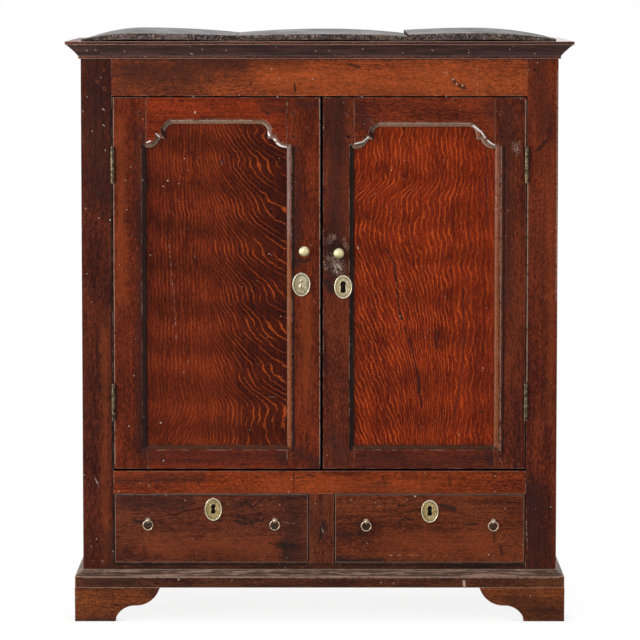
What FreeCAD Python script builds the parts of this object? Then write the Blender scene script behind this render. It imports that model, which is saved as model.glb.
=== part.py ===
import FreeCAD, Part
import math
import os
import re

import Sketcher

# A joined oak linen press: two panelled doors over two drawers, on bracket feet.
# Frame: millimetres, +X to the right seen from the front, +Y from front to back, +Z up.
# The origin is on the floor under the centre of the whole press.
# The left half is modelled, and the right half is its mirror image, with sizes of its own
# where the two doors and the two drawers differ.

SIZES = {
    # carcase
    "case_width": 990,
    "case_depth": 470,
    "foot_height": 71,
    "bottom_rail_height": 50,
    "drawer_opening_height": 146,
    "middle_rail_height": 48,
    "door_opening_height": 783,
    "frieze_rail_height": 113,
    "rear_top_rail_height": 60,
    "post_width": 64,
    "post_depth": 45,
    "rear_post_width": 45,
    "rear_post_depth": 60,
    "rail_thickness": 26,
    "divider_width": 52,
    "meeting_offset": 4,
    "panel_thickness": 8,
    "panel_clearance": 1,
    "groove_depth": 9,
    "tenon_thickness": 8,
    "tenon_setback": 8,
    "tenon_shoulder": 10,
    "front_tenon_length": 40,
    "side_tenon_length": 30,
    "rear_tenon_length": 25,
    "divider_tenon_length": 15,
    "mortise_spare": 1,
    "rebate_width": 12,
    "back_board_thickness": 10,
    "back_board_gap": 1,
    "floor_thickness": 12,
    "floor_drop": 6,
    "floor_groove_depth": 6,
    "shelf_thickness": 16,
    "shelf_spacing": 255,
    "board_clearance": 1,
    "bearer_width": 20,
    "bearer_height": 28,
    "runner_height": 22,
    "runner_ledge": 20,
    "guide_height": 30,
    # draw-bore pegs
    "peg_diameter": 9,
    "peg_length": 30,
    "peg_proud": 0.6,
    "peg_inset": 14,
    "frieze_peg_1_inset": 15,
    "frieze_peg_1_level": 54,
    "frieze_peg_2_inset": 28,
    "frieze_peg_2_level": 32,
    "frieze_peg_3_inset": 13,
    "frieze_peg_3_level": 16,
    "middle_peg_inset": 8,
    "side_top_peg_1_level": 28,
    "side_top_peg_2_level": 68,
    # cornice, base moulding and feet
    "cornice_height": 36,
    "cornice_projection": 31,
    "cornice_fillet": 6.5,
    "cornice_lip": 2,
    "cornice_bead": 5,
    "cornice_bead_height": 6,
    "cornice_hollow_radius": 150,
    "base_height": 37,
    "base_projection": 17,
    "base_band_height": 23,
    "base_step": 1.5,
    "base_top": 3,
    "base_ogee_radius": 12,
    "foot_projection": 17,
    "foot_board_thickness": 20,
    "foot_leg": 85,
    "foot_ankle": 8,
    "foot_ankle_lean": 1,
    "foot_spread": 178,
    "foot_turn": 127,
    "foot_turn_height": 33,
    "foot_tip_drop": 7,
    "foot_tip_lean": 3,
    "foot_hollow_radius": 42,
    "foot_lobe_radius": 52,
    "foot_block": 40,
    "foot_block_lift": 2,
    "rear_bracket_width": 112,
    # top boards, laid from front to back
    "top_board_setback": 4,
    "top_board_back_inset": 14,
    "top_board_left_inset": 1,
    "top_board_right_inset": 5,
    "left_board_width": 319,
    "left_board_thickness": 13,
    "left_board_left_edge": 4,
    "left_board_right_edge": 12,
    "left_board_front_crown": 3.5,
    "left_board_back_crown": 9.5,
    "left_board_crown_place": 110,
    "left_board_warp": 0,
    "centre_board_width": 356,
    "centre_board_thickness": 12,
    "centre_board_left_edge": 12,
    "centre_board_right_edge": 10.5,
    "centre_board_front_crown": 3,
    "centre_board_back_crown": 8,
    "centre_board_crown_place": 190,
    "centre_board_warp": 0,
    "right_board_thickness": 14,
    "right_board_left_edge": 14,
    "right_board_right_edge": 5,
    "right_board_front_crown": 3,
    "right_board_back_crown": 8,
    "right_board_crown_place": 150,
    "right_board_warp": 3,
    "top_board_gap": 1.5,
    # doors
    "door_thickness": 22,
    "door_gap_top": 3,
    "door_gap_bottom": 5,
    "hinge_gap": 2,
    "meeting_gap": 6,
    "left_stile_width": 69,
    "right_stile_width": 65,
    "door_bottom_rail": 49,
    "left_top_rail": 55,
    "right_top_rail": 61,
    "left_shoulder_rail": 105,
    "right_shoulder_rail": 107,
    "head_ledge": 2,
    "head_lobe_radius": 29,
    "head_nib_rise": 19,
    "head_nib_reach": 40,
    "left_arch_radius": 17,
    "right_arch_radius": 14,
    "panel_setback": 8,
    "moulding_width": 10,
    "moulding_quirk": 1.5,
    "door_tenon_length": 42,
    "door_tenon_haunch": 15,
    "door_peg_inset": 13,
    "door_top_peg": 33,
    "door_second_peg": 82,
    "door_bottom_peg": 27,
    # door furniture
    "hinge_height": 75,
    "hinge_end_distance": 140,
    "knuckle_radius": 4,
    "knuckle_clearance": 0.4,
    "knuckle_gap": 0.3,
    "overcut": 1,
    "leaf_thickness": 2,
    "leaf_depth": 20,
    "hinge_pin_radius": 1.6,
    "hinge_pin_clearance": 0.06,
    "knob_inset": 33,
    "left_knob_height": 456,
    "right_knob_height": 452,
    "knob_radius": 10.8,
    "knob_rim_depth": 5.4,
    "knob_neck_radius": 5,
    "knob_waist_radius": 4,
    "knob_foot_radius": 6.5,
    "knob_foot_length": 1.5,
    "knob_length": 23,
    "knob_neck_length": 11,
    "knob_shank_radius": 3,
    "knob_shank_length": 16,
    "door_escutcheon_width": 37,
    "door_escutcheon_height": 49,
    "left_door_plate_inset": 39,
    "left_door_plate_height": 386,
    "right_door_plate_inset": 42,
    "right_door_plate_height": 381,
    "plate_thickness": 2,
    "plate_rim": 2.6,
    "plate_recess": 0.8,
    "keyhole_boss_height": 1.2,
    "door_keyhole_radius": 6,
    "door_keyhole_waist": 9.6,
    "door_keyhole_foot": 11.6,
    "door_keyhole_drop": 18.5,
    "drawer_keyhole_radius": 5.2,
    "drawer_keyhole_waist": 7.4,
    "drawer_keyhole_foot": 10,
    "drawer_keyhole_drop": 15.5,
    "keyhole_foot_bow": 1.4,
    "keyhole_rise": 6,
    "keyhole_in_lock": 2,
    # locks and bolts
    "lock_depth": 12,
    "lock_face": 3,
    "bolt_thickness": 5,
    "bolt_clearance": 0.3,
    "bolt_set_back": 0.5,
    "door_lock_width": 52,
    "door_lock_height": 58,
    "door_bolt_height": 14,
    "door_bolt_length": 34,
    "door_bolt_throw": 13,
    "drawer_lock_width": 58,
    "drawer_lock_height": 48,
    "drawer_bolt_width": 14,
    "drawer_bolt_length": 26,
    "drawer_bolt_throw": 8,
    "mortise_clearance": 0.8,
    "latch_inset": 17,
    "latch_plate_width": 24,
    "latch_plate_length": 110,
    "latch_plate_thickness": 2,
    "latch_width": 10,
    "latch_length": 80,
    "latch_throw": 10,
    "latch_button_radius": 3,
    "latch_button_length": 8,
    # drawers
    "drawer_gap": 2.5,
    "drawer_gap_top": 1.5,
    "drawer_rise": 1,
    "drawer_front_thickness": 22,
    "drawer_back_clearance": 19,
    "drawer_side_thickness": 10,
    "drawer_side_drop": 5,
    "drawer_back_height": 112,
    "drawer_bottom_thickness": 6,
    "drawer_bottom_lift": 9,
    "drawer_groove": 4,
    "dovetail_length": 14,
    "dovetail_end_width": 32,
    "dovetail_root_width": 24,
    "drawer_escutcheon_width": 36,
    "drawer_escutcheon_height": 48,
    "left_drawer_plate_offset": 4,
    "left_drawer_plate_level": 112,
    "right_drawer_plate_offset": 0,
    "right_drawer_plate_level": 108,
    "left_ring_inset": 69.5,
    "left_ring_level": 89,
    "right_ring_inset": 65,
    "right_ring_level": 87,
    "ring_radius": 10,
    "ring_wire_radius": 1.3,
    "ring_eye_clearance": 0.65,
    "ring_lift": 0.3,
    "ring_post_radius": 2.2,
    "ring_ball_radius": 4,
    "ring_stand_off": 8,
    "ring_collar_radius": 5.5,
    "ring_collar_thickness": 1.6,
}

# Places that follow from the sizes. Levels are heights above the underside of the carcase.
PLACES = {
    "front": "-(case_depth - cornice_projection) / 2",
    "side": "-case_width / 2",
    "opening_width": "case_width - 2 * post_width",
    "opening_side": "side + post_width",
    "middle_low": "bottom_rail_height + drawer_opening_height",
    "middle_top": "middle_low + middle_rail_height",
    "frieze_low": "middle_top + door_opening_height",
    "case_rise": "frieze_low + frieze_rail_height",
    "case_top": "foot_height + case_rise",
    "top_board_length": "case_depth - top_board_setback - top_board_back_inset",
    "right_board_width": "case_width - top_board_left_inset - top_board_right_inset"
                         " - left_board_width - centre_board_width - 2 * top_board_gap",
    "rear_top_low": "case_rise - rear_top_rail_height",
    "side_rail_length": "case_depth - post_depth - rear_post_depth",
    "rear_rail_length": "case_width - 2 * rear_post_width",
    "rear_rail_front": "case_depth - back_board_thickness - rail_thickness",
    "floor_low": "middle_top - floor_drop - floor_thickness",
    "divider_side": "meeting_offset - divider_width / 2",
    "door_side": "opening_side + hinge_gap",
    "door_low": "foot_height + middle_top + door_gap_bottom",
    "door_height": "door_opening_height - door_gap_top - door_gap_bottom",
    "left_door_width": "opening_width / 2 + meeting_offset - hinge_gap - meeting_gap / 2",
    "right_door_width": "opening_width / 2 - meeting_offset - hinge_gap - meeting_gap / 2",
    "left_drawer_width": "opening_width / 2 + meeting_offset - divider_width / 2 - 2 * drawer_gap",
    "right_drawer_width": "opening_width / 2 - meeting_offset - divider_width / 2 - 2 * drawer_gap",
    "drawer_side": "opening_side + drawer_gap",
    "drawer_length": "rear_rail_front - drawer_back_clearance",
    "drawer_low": "foot_height + bottom_rail_height + drawer_rise",
    "drawer_front_height": "drawer_opening_height - drawer_rise - drawer_gap_top",
    "drawer_side_height": "drawer_front_height - drawer_side_drop",
    "hinge_axis_side": "opening_side + hinge_gap / 2",
    "hinge_axis_front": "front - knuckle_radius - knuckle_clearance",
    "bolt_front": "lock_face + bolt_clearance",
    "door_bolt_level": "right_door_plate_height",
    "latch_low": "door_height - latch_length - bolt_set_back",
}

BACK_BOARDS = 5
KNUCKLES = 5
DOVETAILS = 3
OVOLO_STEPS = 3
SHELVES = 2
WORD = re.compile(r"[a-z]\w*")
PLANES = {"x": ("YZ_Plane", 1), "y": ("XZ_Plane", -1), "z": ("XY_Plane", 1)}
TURNS = {
    "x": FreeCAD.Rotation(FreeCAD.Vector(0, 0, 1), FreeCAD.Vector(1, 0, 0)),
    "y": FreeCAD.Rotation(FreeCAD.Vector(0, 0, 1), FreeCAD.Vector(0, 1, 0)),
    "z": FreeCAD.Rotation(),
}
NODES = []

doc = FreeCAD.newDocument("LinenPress")


# ---------------------------------------------------------------- sheets and expressions

def bound(text):
    """Point each named size or place in an expression at the sheet that holds it."""
    def cell(match):
        word = match.group()
        if word in SIZES:
            return "Sizes." + word
        if word in PLACES:
            return "Places." + word
        return word
    return WORD.sub(cell, str(text))


def fill_sheet(name, rows):
    """Put each alias and its number or formula in a row of a spreadsheet."""
    sheet = doc.addObject("Spreadsheet::Sheet", name)
    for row, (alias, content) in enumerate(rows.items(), 1):
        sheet.set(f"A{row}", alias)
        sheet.set(f"B{row}", content)
        sheet.setAlias(f"B{row}", alias)
    return sheet


sizes = fill_sheet("Sizes", {alias: str(size) for alias, size in SIZES.items()})
places = fill_sheet("Places", {alias: "=" + bound(text) for alias, text in PLACES.items()})
doc.recompute()


def value(text):
    """What an expression comes to now, as a first guess for a sketch."""
    return float(sizes.evalExpression(bound(text)))


# ---------------------------------------------------------------- bodies, pads and pockets

def new_body(name, at):
    """An empty body whose own origin is placed at three expressions."""
    body = doc.addObject("PartDesign::Body", name)
    place(body, at)
    return body


def place(thing, at):
    """Bind the place of an object to three expressions."""
    for letter, expression in zip("xyz", at):
        thing.setExpression(f"Placement.Base.{letter}", bound(expression))


def arc_between(start, end, radius, side):
    """The short arc from start to end; side 1 bulges to the left of the way, -1 to the right."""
    chord = end - start
    middle = (start + end) / 2
    left = FreeCAD.Vector(-chord.y, chord.x, 0).normalize()
    centre = middle - left * side * math.sqrt(radius ** 2 - (chord.Length / 2) ** 2)
    first, last = (end, start) if side > 0 else (start, end)
    angles = [math.atan2((point - centre).y, (point - centre).x) for point in (first, last)]
    if angles[1] < angles[0]:
        angles[1] += 2 * math.pi
    circle = Part.Circle(centre, FreeCAD.Vector(0, 0, 1), radius)
    return Part.ArcOfCircle(circle, *angles)


def draw(body, name, axis, level, corners):
    """Sketch a closed outline across an axis of the body, at a level along that axis.

    A corner is (u, v), two expressions. Where an arc arrives at it, the corner goes on with
    the arc's radius and the side that it bulges to.
    """
    role, sign = PLANES[axis]
    sketch = body.newObject("Sketcher::SketchObject", name)
    sketch.AttachmentSupport = [(origin_plane(body, role), "")]
    sketch.MapMode = "FlatFace"
    sketch.setExpression("AttachmentOffset.Base.z", bound(f"{sign} * ({level})"))
    points = [FreeCAD.Vector(value(corner[0]), value(corner[1]), 0) for corner in corners]
    ends = []
    for index, corner in enumerate(corners):
        start, end = points[index - 1], points[index]
        if len(corner) == 2:
            sketch.addGeometry(Part.LineSegment(start, end), False)
            ends.append((1, 2))
            continue
        radius, side = corner[2:]
        sketch.addGeometry(arc_between(start, end, value(radius), side), False)
        ends.append((2, 1) if side > 0 else (1, 2))
        bind(sketch, Sketcher.Constraint("Radius", index, value(radius)), f"bend_{index}", radius)
    for index, corner in enumerate(corners):
        following = (index + 1) % len(corners)
        arrival, departure = ends[index][1], ends[following][0]
        sketch.addConstraint(
            Sketcher.Constraint("Coincident", index, arrival, following, departure))
        for kind, expression in zip(("DistanceX", "DistanceY"), corner):
            constraint = Sketcher.Constraint(kind, -1, 1, index, arrival, value(expression))
            bind(sketch, constraint, f"{kind}_{index}", expression)
    return sketch


def origin_plane(body, role):
    """One of the body's own origin planes."""
    return next(plane for plane in body.Origin.OriginFeatures if plane.Role == role)


def bind(sketch, constraint, name, expression):
    """Add a dimension to a sketch and tie it to an expression."""
    index = sketch.addConstraint(constraint)
    sketch.renameConstraint(index, name)
    sketch.setExpression("Constraints." + name, bound(expression))


def pad(body, name, axis, low, high, corners):
    """Add an outline's prism, from low to high along an axis."""
    feature = body.newObject("PartDesign::Pad", name)
    feature.Profile = draw(body, name + "_outline", axis, low, corners)
    feature.setExpression("Length", bound(f"({high}) - ({low})"))
    feature.Reversed = axis == "y"
    return feature


def pocket(body, name, axis, low, high, corners):
    """Cut an outline's prism away, from low to high along an axis."""
    feature = body.newObject("PartDesign::Pocket", name)
    feature.Profile = draw(body, name + "_outline", axis, low, corners)
    feature.setExpression("Length", bound(f"({high}) - ({low})"))
    feature.Reversed = axis != "y"
    return feature


def rectangle(low, high):
    """The corners of a rectangle between two corner points."""
    return [(low[0], low[1]), (high[0], low[1]), (high[0], high[1]), (low[0], high[1])]


def block(body, name, axis, low, high, make=pad):
    """Pad or pocket a square-cornered block between two corner points."""
    along = "xyz".index(axis)
    across = [index for index in range(3) if index != along]
    corners = rectangle([low[index] for index in across], [high[index] for index in across])
    return make(body, name, axis, low[along], high[along], corners)


def slot(body, name, axis, low, high):
    """Cut a square-cornered block away between two corner points."""
    return block(body, name, axis, low, high, make=pocket)


# ---------------------------------------------------------------- other shapes and nodes

def cylinder(name, axis, at, radius, length):
    """A cylinder that starts at a point and runs along an axis."""
    part = doc.addObject("Part::Cylinder", name)
    part.Placement = FreeCAD.Placement(FreeCAD.Vector(), TURNS[axis])
    place(part, at)
    part.setExpression("Radius", bound(radius))
    part.setExpression("Height", bound(length))
    return part


def group(name, *members):
    """Separate solids that are kept together."""
    compound = doc.addObject("Part::Compound", name)
    compound.Links = list(members)
    return compound


def cut(name, base, *tools):
    """The base with the room for its neighbours cut out."""
    result = doc.addObject("Part::Cut", name)
    result.Base = base
    result.Tool = tools[0] if len(tools) == 1 else group(name + "_tools", *tools)
    return result


def mirrored(name, source):
    """The same piece on the right-hand side."""
    mirror = doc.addObject("Part::Mirroring", name)
    mirror.Source = source
    mirror.Normal = FreeCAD.Vector(1, 0, 0)
    return mirror


def node(name, piece):
    """Name a finished sub-part."""
    piece.Label = name
    NODES.append(piece)
    return piece


# ---------------------------------------------------------------- carcase

RAILS = {
    "bottom": ("0", "bottom_rail_height"),
    "middle": ("middle_low", "middle_top"),
    "top": ("frieze_low", "case_rise"),
}
REAR_RAILS = dict(RAILS, top=("rear_top_low", "case_rise"))
SIDE_PANELS = {
    "lower": ("bottom_rail_height", "middle_low"),
    "upper": ("middle_top", "frieze_low"),
}
TENON_BACK = "tenon_setback + tenon_thickness"
HINGE_LEVELS = {
    "lower": "door_low - foot_height + hinge_end_distance - hinge_height / 2",
    "upper": "door_low - foot_height + door_height - hinge_end_distance - hinge_height / 2",
}


def front_pegs():
    """The pegs of one front post: three in the frieze, one in each lower rail."""
    marks = {
        "frieze_1": ("frieze_peg_1_inset", "frieze_low + frieze_peg_1_level", "peg_proud"),
        "frieze_2": ("frieze_peg_2_inset", "frieze_low + frieze_peg_2_level", "peg_proud"),
        "frieze_3": ("frieze_peg_3_inset", "frieze_low + frieze_peg_3_level", "peg_proud"),
        "middle": ("middle_peg_inset", "middle_low + middle_rail_height / 2", "peg_proud"),
        "bottom": ("peg_inset", "bottom_rail_height / 2", "0"),
    }
    pegs = []
    for name, (inset, level, proud) in marks.items():
        at = (f"opening_side - {inset}", f"front - {proud}", f"foot_height + {level}")
        pegs.append(cylinder("peg_" + name, "y", at, "peg_diameter / 2", f"peg_length + {proud}"))
    return group("left_front_pegs", *pegs)


def side_pegs():
    """The pegs of one side: two at each end of the deep top rail, one at the others."""
    levels = [
        "bottom_rail_height / 2",
        "middle_low + middle_rail_height / 2",
        "frieze_low + side_top_peg_1_level",
        "frieze_low + side_top_peg_2_level",
    ]
    depths = [
        "front + post_depth - peg_inset",
        "front + case_depth - rear_post_depth + peg_inset",
    ]
    pegs = []
    for level in levels:
        for depth in depths:
            at = ("side", depth, f"foot_height + {level}")
            pegs.append(cylinder("side_peg", "x", at, "peg_diameter / 2", "peg_length"))
    return group("left_side_pegs", *pegs)


def front_post(pegs):
    """A corner post with mortises for both ways, panel grooves and hinge recesses."""
    post = new_body("front_post_body", ("side", "front", "foot_height"))
    block(post, "post", "z", ("0", "0", "0"), ("post_width", "post_depth", "case_rise"))
    for name, (low, high) in RAILS.items():
        mortise_low, mortise_high = f"{low} + tenon_shoulder", f"{high} - tenon_shoulder"
        slot(post, name + "_front_mortise", "x",
             ("post_width - front_tenon_length - mortise_spare", "tenon_setback", mortise_low),
             ("post_width", TENON_BACK, mortise_high))
        slot(post, name + "_side_mortise", "y",
             ("tenon_setback", "post_depth - side_tenon_length - mortise_spare", mortise_low),
             (TENON_BACK, "post_depth", mortise_high))
    for name, (low, high) in SIDE_PANELS.items():
        slot(post, name + "_panel_groove", "y",
             ("tenon_setback", "post_depth - groove_depth", f"{low} - groove_depth"),
             ("tenon_setback + panel_thickness", "post_depth", f"{high} + groove_depth"))
    for name, level in HINGE_LEVELS.items():
        slot(post, name + "_leaf_recess", "x",
             ("post_width - leaf_thickness", "0", level),
             ("post_width", "leaf_depth", f"{level} + hinge_height"))
    return cut("left_front_post", post, *pegs)


def rear_post(pegs):
    """A back post with mortises, panel grooves and a rebate for the back boards."""
    at = ("side", "front + case_depth - rear_post_depth", "foot_height")
    post = new_body("rear_post_body", at)
    rail_face = "rear_post_depth - back_board_thickness - rail_thickness"
    block(post, "post", "z", ("0", "0", "0"),
          ("rear_post_width", "rear_post_depth", "case_rise"))
    slot(post, "board_rebate", "z",
         ("rear_post_width - rebate_width", "rear_post_depth - back_board_thickness", "0"),
         ("rear_post_width", "rear_post_depth", "case_rise"))
    for name, (low, high) in RAILS.items():
        slot(post, name + "_side_mortise", "y",
             ("tenon_setback", "0", f"{low} + tenon_shoulder"),
             (TENON_BACK, "side_tenon_length + mortise_spare", f"{high} - tenon_shoulder"))
    for name, (low, high) in REAR_RAILS.items():
        slot(post, name + "_rear_mortise", "x",
             ("rear_post_width - rear_tenon_length - mortise_spare",
              f"{rail_face} + tenon_setback", f"{low} + tenon_shoulder"),
             ("rear_post_width", f"{rail_face} + {TENON_BACK}", f"{high} - tenon_shoulder"))
    for name, (low, high) in SIDE_PANELS.items():
        slot(post, name + "_panel_groove", "y",
             ("tenon_setback", "0", f"{low} - groove_depth"),
             ("tenon_setback + panel_thickness", "groove_depth", f"{high} + groove_depth"))
    return cut("left_rear_post", post, pegs)


def cross_rail(name, at, length, low, high, tenon):
    """A rail across the case, with a tenon on each end."""
    rail = new_body(name, at)
    rise = f"({high}) - ({low})"
    block(rail, name + "_rail", "x", ("0", "0", "0"), (length, "rail_thickness", rise))
    block(rail, name + "_tenons", "x", (f"-({tenon})", "tenon_setback", "tenon_shoulder"),
          (f"{length} + {tenon}", TENON_BACK, f"{rise} - tenon_shoulder"))
    return rail


def front_rails(pegs):
    """The frieze, middle and bottom rails between the front posts."""
    bodies = {}
    for name, (low, high) in RAILS.items():
        at = ("opening_side", "front", f"foot_height + {low}")
        bodies[name] = cross_rail(name + "_front_rail", at, "opening_width", low, high,
                                  "front_tenon_length")
    divider_low = "divider_side - opening_side + tenon_shoulder"
    divider_high = "divider_side - opening_side + divider_width - tenon_shoulder"
    slot(bodies["bottom"], "divider_mortise", "z",
         (divider_low, "tenon_setback",
          "bottom_rail_height - divider_tenon_length - mortise_spare"),
         (divider_high, TENON_BACK, "bottom_rail_height"))
    slot(bodies["middle"], "divider_mortise", "z",
         (divider_low, "tenon_setback", "0"),
         (divider_high, TENON_BACK, "divider_tenon_length + mortise_spare"))
    slot(bodies["middle"], "floor_groove", "x",
         ("0", "rail_thickness - floor_groove_depth", "floor_low - middle_low"),
         ("opening_width", "rail_thickness", "floor_low - middle_low + floor_thickness"))
    for side, place_of_lock in DRAWER_LOCKS.items():
        bolt_room(bodies["middle"], side, place_of_lock)
    latch_room(bodies["top"])
    return {name: cut(name + "_rail_bored", body, *pegs) for name, body in bodies.items()}


DRAWER_LOCKS = {
    "left": "drawer_gap + left_drawer_width / 2 + left_drawer_plate_offset",
    "right": "opening_width - drawer_gap - right_drawer_width / 2 - right_drawer_plate_offset",
}


def bolt_room(rail, side, centre):
    """The mortise over a drawer's lock, which its bolt shoots up into."""
    front = "drawer_front_thickness - lock_depth + bolt_front - mortise_clearance"
    half = "(drawer_bolt_width / 2 + mortise_clearance)"
    slot(rail, side + "_bolt_mortise", "z", (f"{centre} - {half}", front, "0"),
         (f"{centre} + {half}", f"{front} + bolt_thickness + 2 * mortise_clearance",
          "drawer_bolt_throw + mortise_clearance"))


def latch_room(rail):
    """The mortise over the left door, which its bolt shoots up into."""
    centre = "hinge_gap + left_door_width - latch_inset"
    half = "(latch_width / 2 + mortise_clearance)"
    front = "door_thickness - latch_plate_thickness - bolt_thickness - bolt_clearance"
    slot(rail, "latch_mortise", "z", (f"{centre} - {half}", f"{front} - mortise_clearance", "0"),
         (f"{centre} + {half}", f"{front} + bolt_thickness + mortise_clearance",
          "latch_throw - door_gap_top + mortise_clearance"))


def drawer_divider():
    """The upright between the two drawers, tenoned into both rails."""
    divider = new_body("divider_body", ("divider_side", "front", "foot_height + bottom_rail_height"))
    block(divider, "divider", "z", ("0", "0", "0"),
          ("divider_width", "rail_thickness", "drawer_opening_height"))
    block(divider, "divider_tenons", "z",
          ("tenon_shoulder", "tenon_setback", "-divider_tenon_length"),
          ("divider_width - tenon_shoulder", TENON_BACK,
           "drawer_opening_height + divider_tenon_length"))
    return divider


def side_rail(name, low, high):
    """A rail from front to back, grooved on the edges that meet a panel."""
    rise = f"({high}) - ({low})"
    rail = new_body(name + "_side_rail", ("side", "front + post_depth", f"foot_height + {low}"))
    block(rail, name + "_rail", "y", ("0", "0", "0"), ("rail_thickness", "side_rail_length", rise))
    block(rail, name + "_tenons", "y", ("tenon_setback", "-side_tenon_length", "tenon_shoulder"),
          (TENON_BACK, "side_rail_length + side_tenon_length", f"{rise} - tenon_shoulder"))
    groove_back = "tenon_setback + panel_thickness"
    if name != "bottom":
        slot(rail, name + "_under_groove", "y", ("tenon_setback", "0", "0"),
             (groove_back, "side_rail_length", "groove_depth"))
    if name != "top":
        slot(rail, name + "_upper_groove", "y", ("tenon_setback", "0", f"{rise} - groove_depth"),
             (groove_back, "side_rail_length", rise))
    if name == "middle":
        slot(rail, "floor_groove", "y",
             ("rail_thickness - floor_groove_depth", "0", "floor_low - middle_low"),
             ("rail_thickness", "side_rail_length", "floor_low - middle_low + floor_thickness"))
    return rail


def side_panel(name, low, high):
    """A flat panel that floats in the grooves round it."""
    reach = "(groove_depth - panel_clearance)"
    panel = new_body(name + "_side_panel",
                     ("side + tenon_setback", f"front + post_depth - {reach}",
                      f"foot_height + {low} - {reach}"))
    block(panel, name + "_panel", "x", ("0", "0", "0"),
          ("panel_thickness", f"side_rail_length + 2 * {reach}",
           f"({high}) - ({low}) + 2 * {reach}"))
    return panel


def rear_rails():
    """Three rails between the back posts; the middle one is grooved for the floor."""
    rails = []
    for name, (low, high) in REAR_RAILS.items():
        at = ("side + rear_post_width", "front + rear_rail_front", f"foot_height + {low}")
        rails.append(cross_rail(name + "_rear_rail", at, "rear_rail_length", low, high,
                                "rear_tenon_length"))
    slot(rails[1], "floor_groove", "x", ("0", "0", "floor_low - middle_low"),
         ("rear_rail_length", "floor_groove_depth", "floor_low - middle_low + floor_thickness"))
    return rails


def back_boards():
    """Upright boards in the rebates of the back posts, nailed to the rails."""
    span = "(case_width - 2 * rear_post_width + 2 * rebate_width + back_board_gap)"
    boards = []
    for index in range(BACK_BOARDS):
        at = (f"side + rear_post_width - rebate_width + {index} * {span} / {BACK_BOARDS}",
              "front + case_depth - back_board_thickness", "foot_height")
        board = new_body("back_board", at)
        block(board, "board", "z", ("0", "0", "0"),
              (f"{span} / {BACK_BOARDS} - back_board_gap", "back_board_thickness", "case_rise"))
        boards.append(board)
    return boards


def mirrored_outline(half):
    """An outline across the case from the corners of its left half, given front to back."""
    return half + [(f"-({x})", y) for x, y in reversed(half)]


def fitted_board(name, level, thickness, front, back, reach):
    """A board that fills the case behind the front posts and is notched round all four."""
    board = new_body(name, ("0", "front", f"foot_height + {level}"))
    front_notch = "post_depth + board_clearance"
    back_notch = "case_depth - rear_post_depth - board_clearance"
    half = [
        ("opening_side + board_clearance", front),
        ("opening_side + board_clearance", front_notch),
        (f"side + {reach}", front_notch),
        (f"side + {reach}", back_notch),
        ("side + rear_post_width + board_clearance", back_notch),
        ("side + rear_post_width + board_clearance", back),
    ]
    pad(board, name + "_board", "z", "0", thickness, mirrored_outline(half))
    return board


def cupboard_floor():
    """The board over the drawers, in grooves on all four sides."""
    edge = "(floor_groove_depth - board_clearance)"
    return fitted_board("floor_body", "floor_low", "floor_thickness", f"rail_thickness - {edge}",
                        f"rear_rail_front + {edge}", f"rail_thickness - {edge}")


def shelf_level(index):
    """How high the top of a shelf is over the underside of the carcase."""
    return f"middle_top + {index + 1} * shelf_spacing"


def shelves():
    """The shelves stop behind the doors and run back to the back boards."""
    return [fitted_board(f"shelf_{index + 1}", f"{shelf_level(index)} - shelf_thickness",
                         "shelf_thickness", "door_thickness + board_clearance",
                         "case_depth - back_board_thickness - board_clearance",
                         "rail_thickness + board_clearance")
            for index in range(SHELVES)]


def shelf_bearer(index):
    """A batten under one end of a shelf, from front post to back post."""
    level = f"foot_height + {shelf_level(index)} - shelf_thickness - bearer_height"
    bearer = new_body(f"bearer_{index + 1}", ("side + rail_thickness", "front + post_depth", level))
    block(bearer, "batten", "y", ("0", "0", "0"),
          ("bearer_width", "side_rail_length", "bearer_height"))
    return bearer


def side_runner():
    """The runner under a drawer's outer side, with the guide that stands on it."""
    runner = new_body("side_runner", ("side", "front", "foot_height + bottom_rail_height"))
    half = [
        ("post_width", "rail_thickness"),
        ("post_width", "post_depth"),
        ("rail_thickness", "post_depth"),
        ("rail_thickness", "case_depth - rear_post_depth"),
        ("rear_post_width", "case_depth - rear_post_depth"),
        ("rear_post_width", "rear_rail_front"),
        ("post_width + runner_ledge", "rear_rail_front"),
        ("post_width + runner_ledge", "rail_thickness"),
    ]
    pad(runner, "runner", "z", "-runner_height", "0", half)
    block(runner, "guide", "z", ("rail_thickness", "post_depth", "0"),
          ("post_width", "case_depth - rear_post_depth", "guide_height"))
    return runner


def centre_runner():
    """The runner between the drawers, with a guide as wide as the divider."""
    runner = new_body("centre_runner",
                      ("divider_side", "front + rail_thickness", "foot_height + bottom_rail_height"))
    length = "rear_rail_front - rail_thickness"
    block(runner, "runner", "y", ("-runner_ledge", "0", "-runner_height"),
          ("divider_width + runner_ledge", length, "0"))
    block(runner, "guide", "y", ("0", "0", "0"), ("divider_width", length, "guide_height"))
    return runner


# ---------------------------------------------------------------- mouldings, feet and top

CORNICE = [
    ("0", "0"),
    ("-cornice_bead", "0"),
    ("-cornice_bead", "cornice_bead_height"),
    ("cornice_lip - cornice_projection", "cornice_height - cornice_fillet",
     "cornice_hollow_radius", -1),
    ("-cornice_projection", "cornice_height - cornice_fillet"),
    ("-cornice_projection", "cornice_height"),
    ("0", "cornice_height"),
]
BASE = [
    ("0", "0"),
    ("-base_projection", "0"),
    ("-base_projection", "base_band_height"),
    ("base_step - base_projection", "base_band_height"),
    ("-(base_projection - base_step + base_top) / 2",
     "(base_band_height + base_height - base_step) / 2", "base_ogee_radius", 1),
    ("-base_top", "base_height - base_step", "base_ogee_radius", -1),
    ("-base_top", "base_height"),
    ("0", "base_height"),
]


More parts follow.
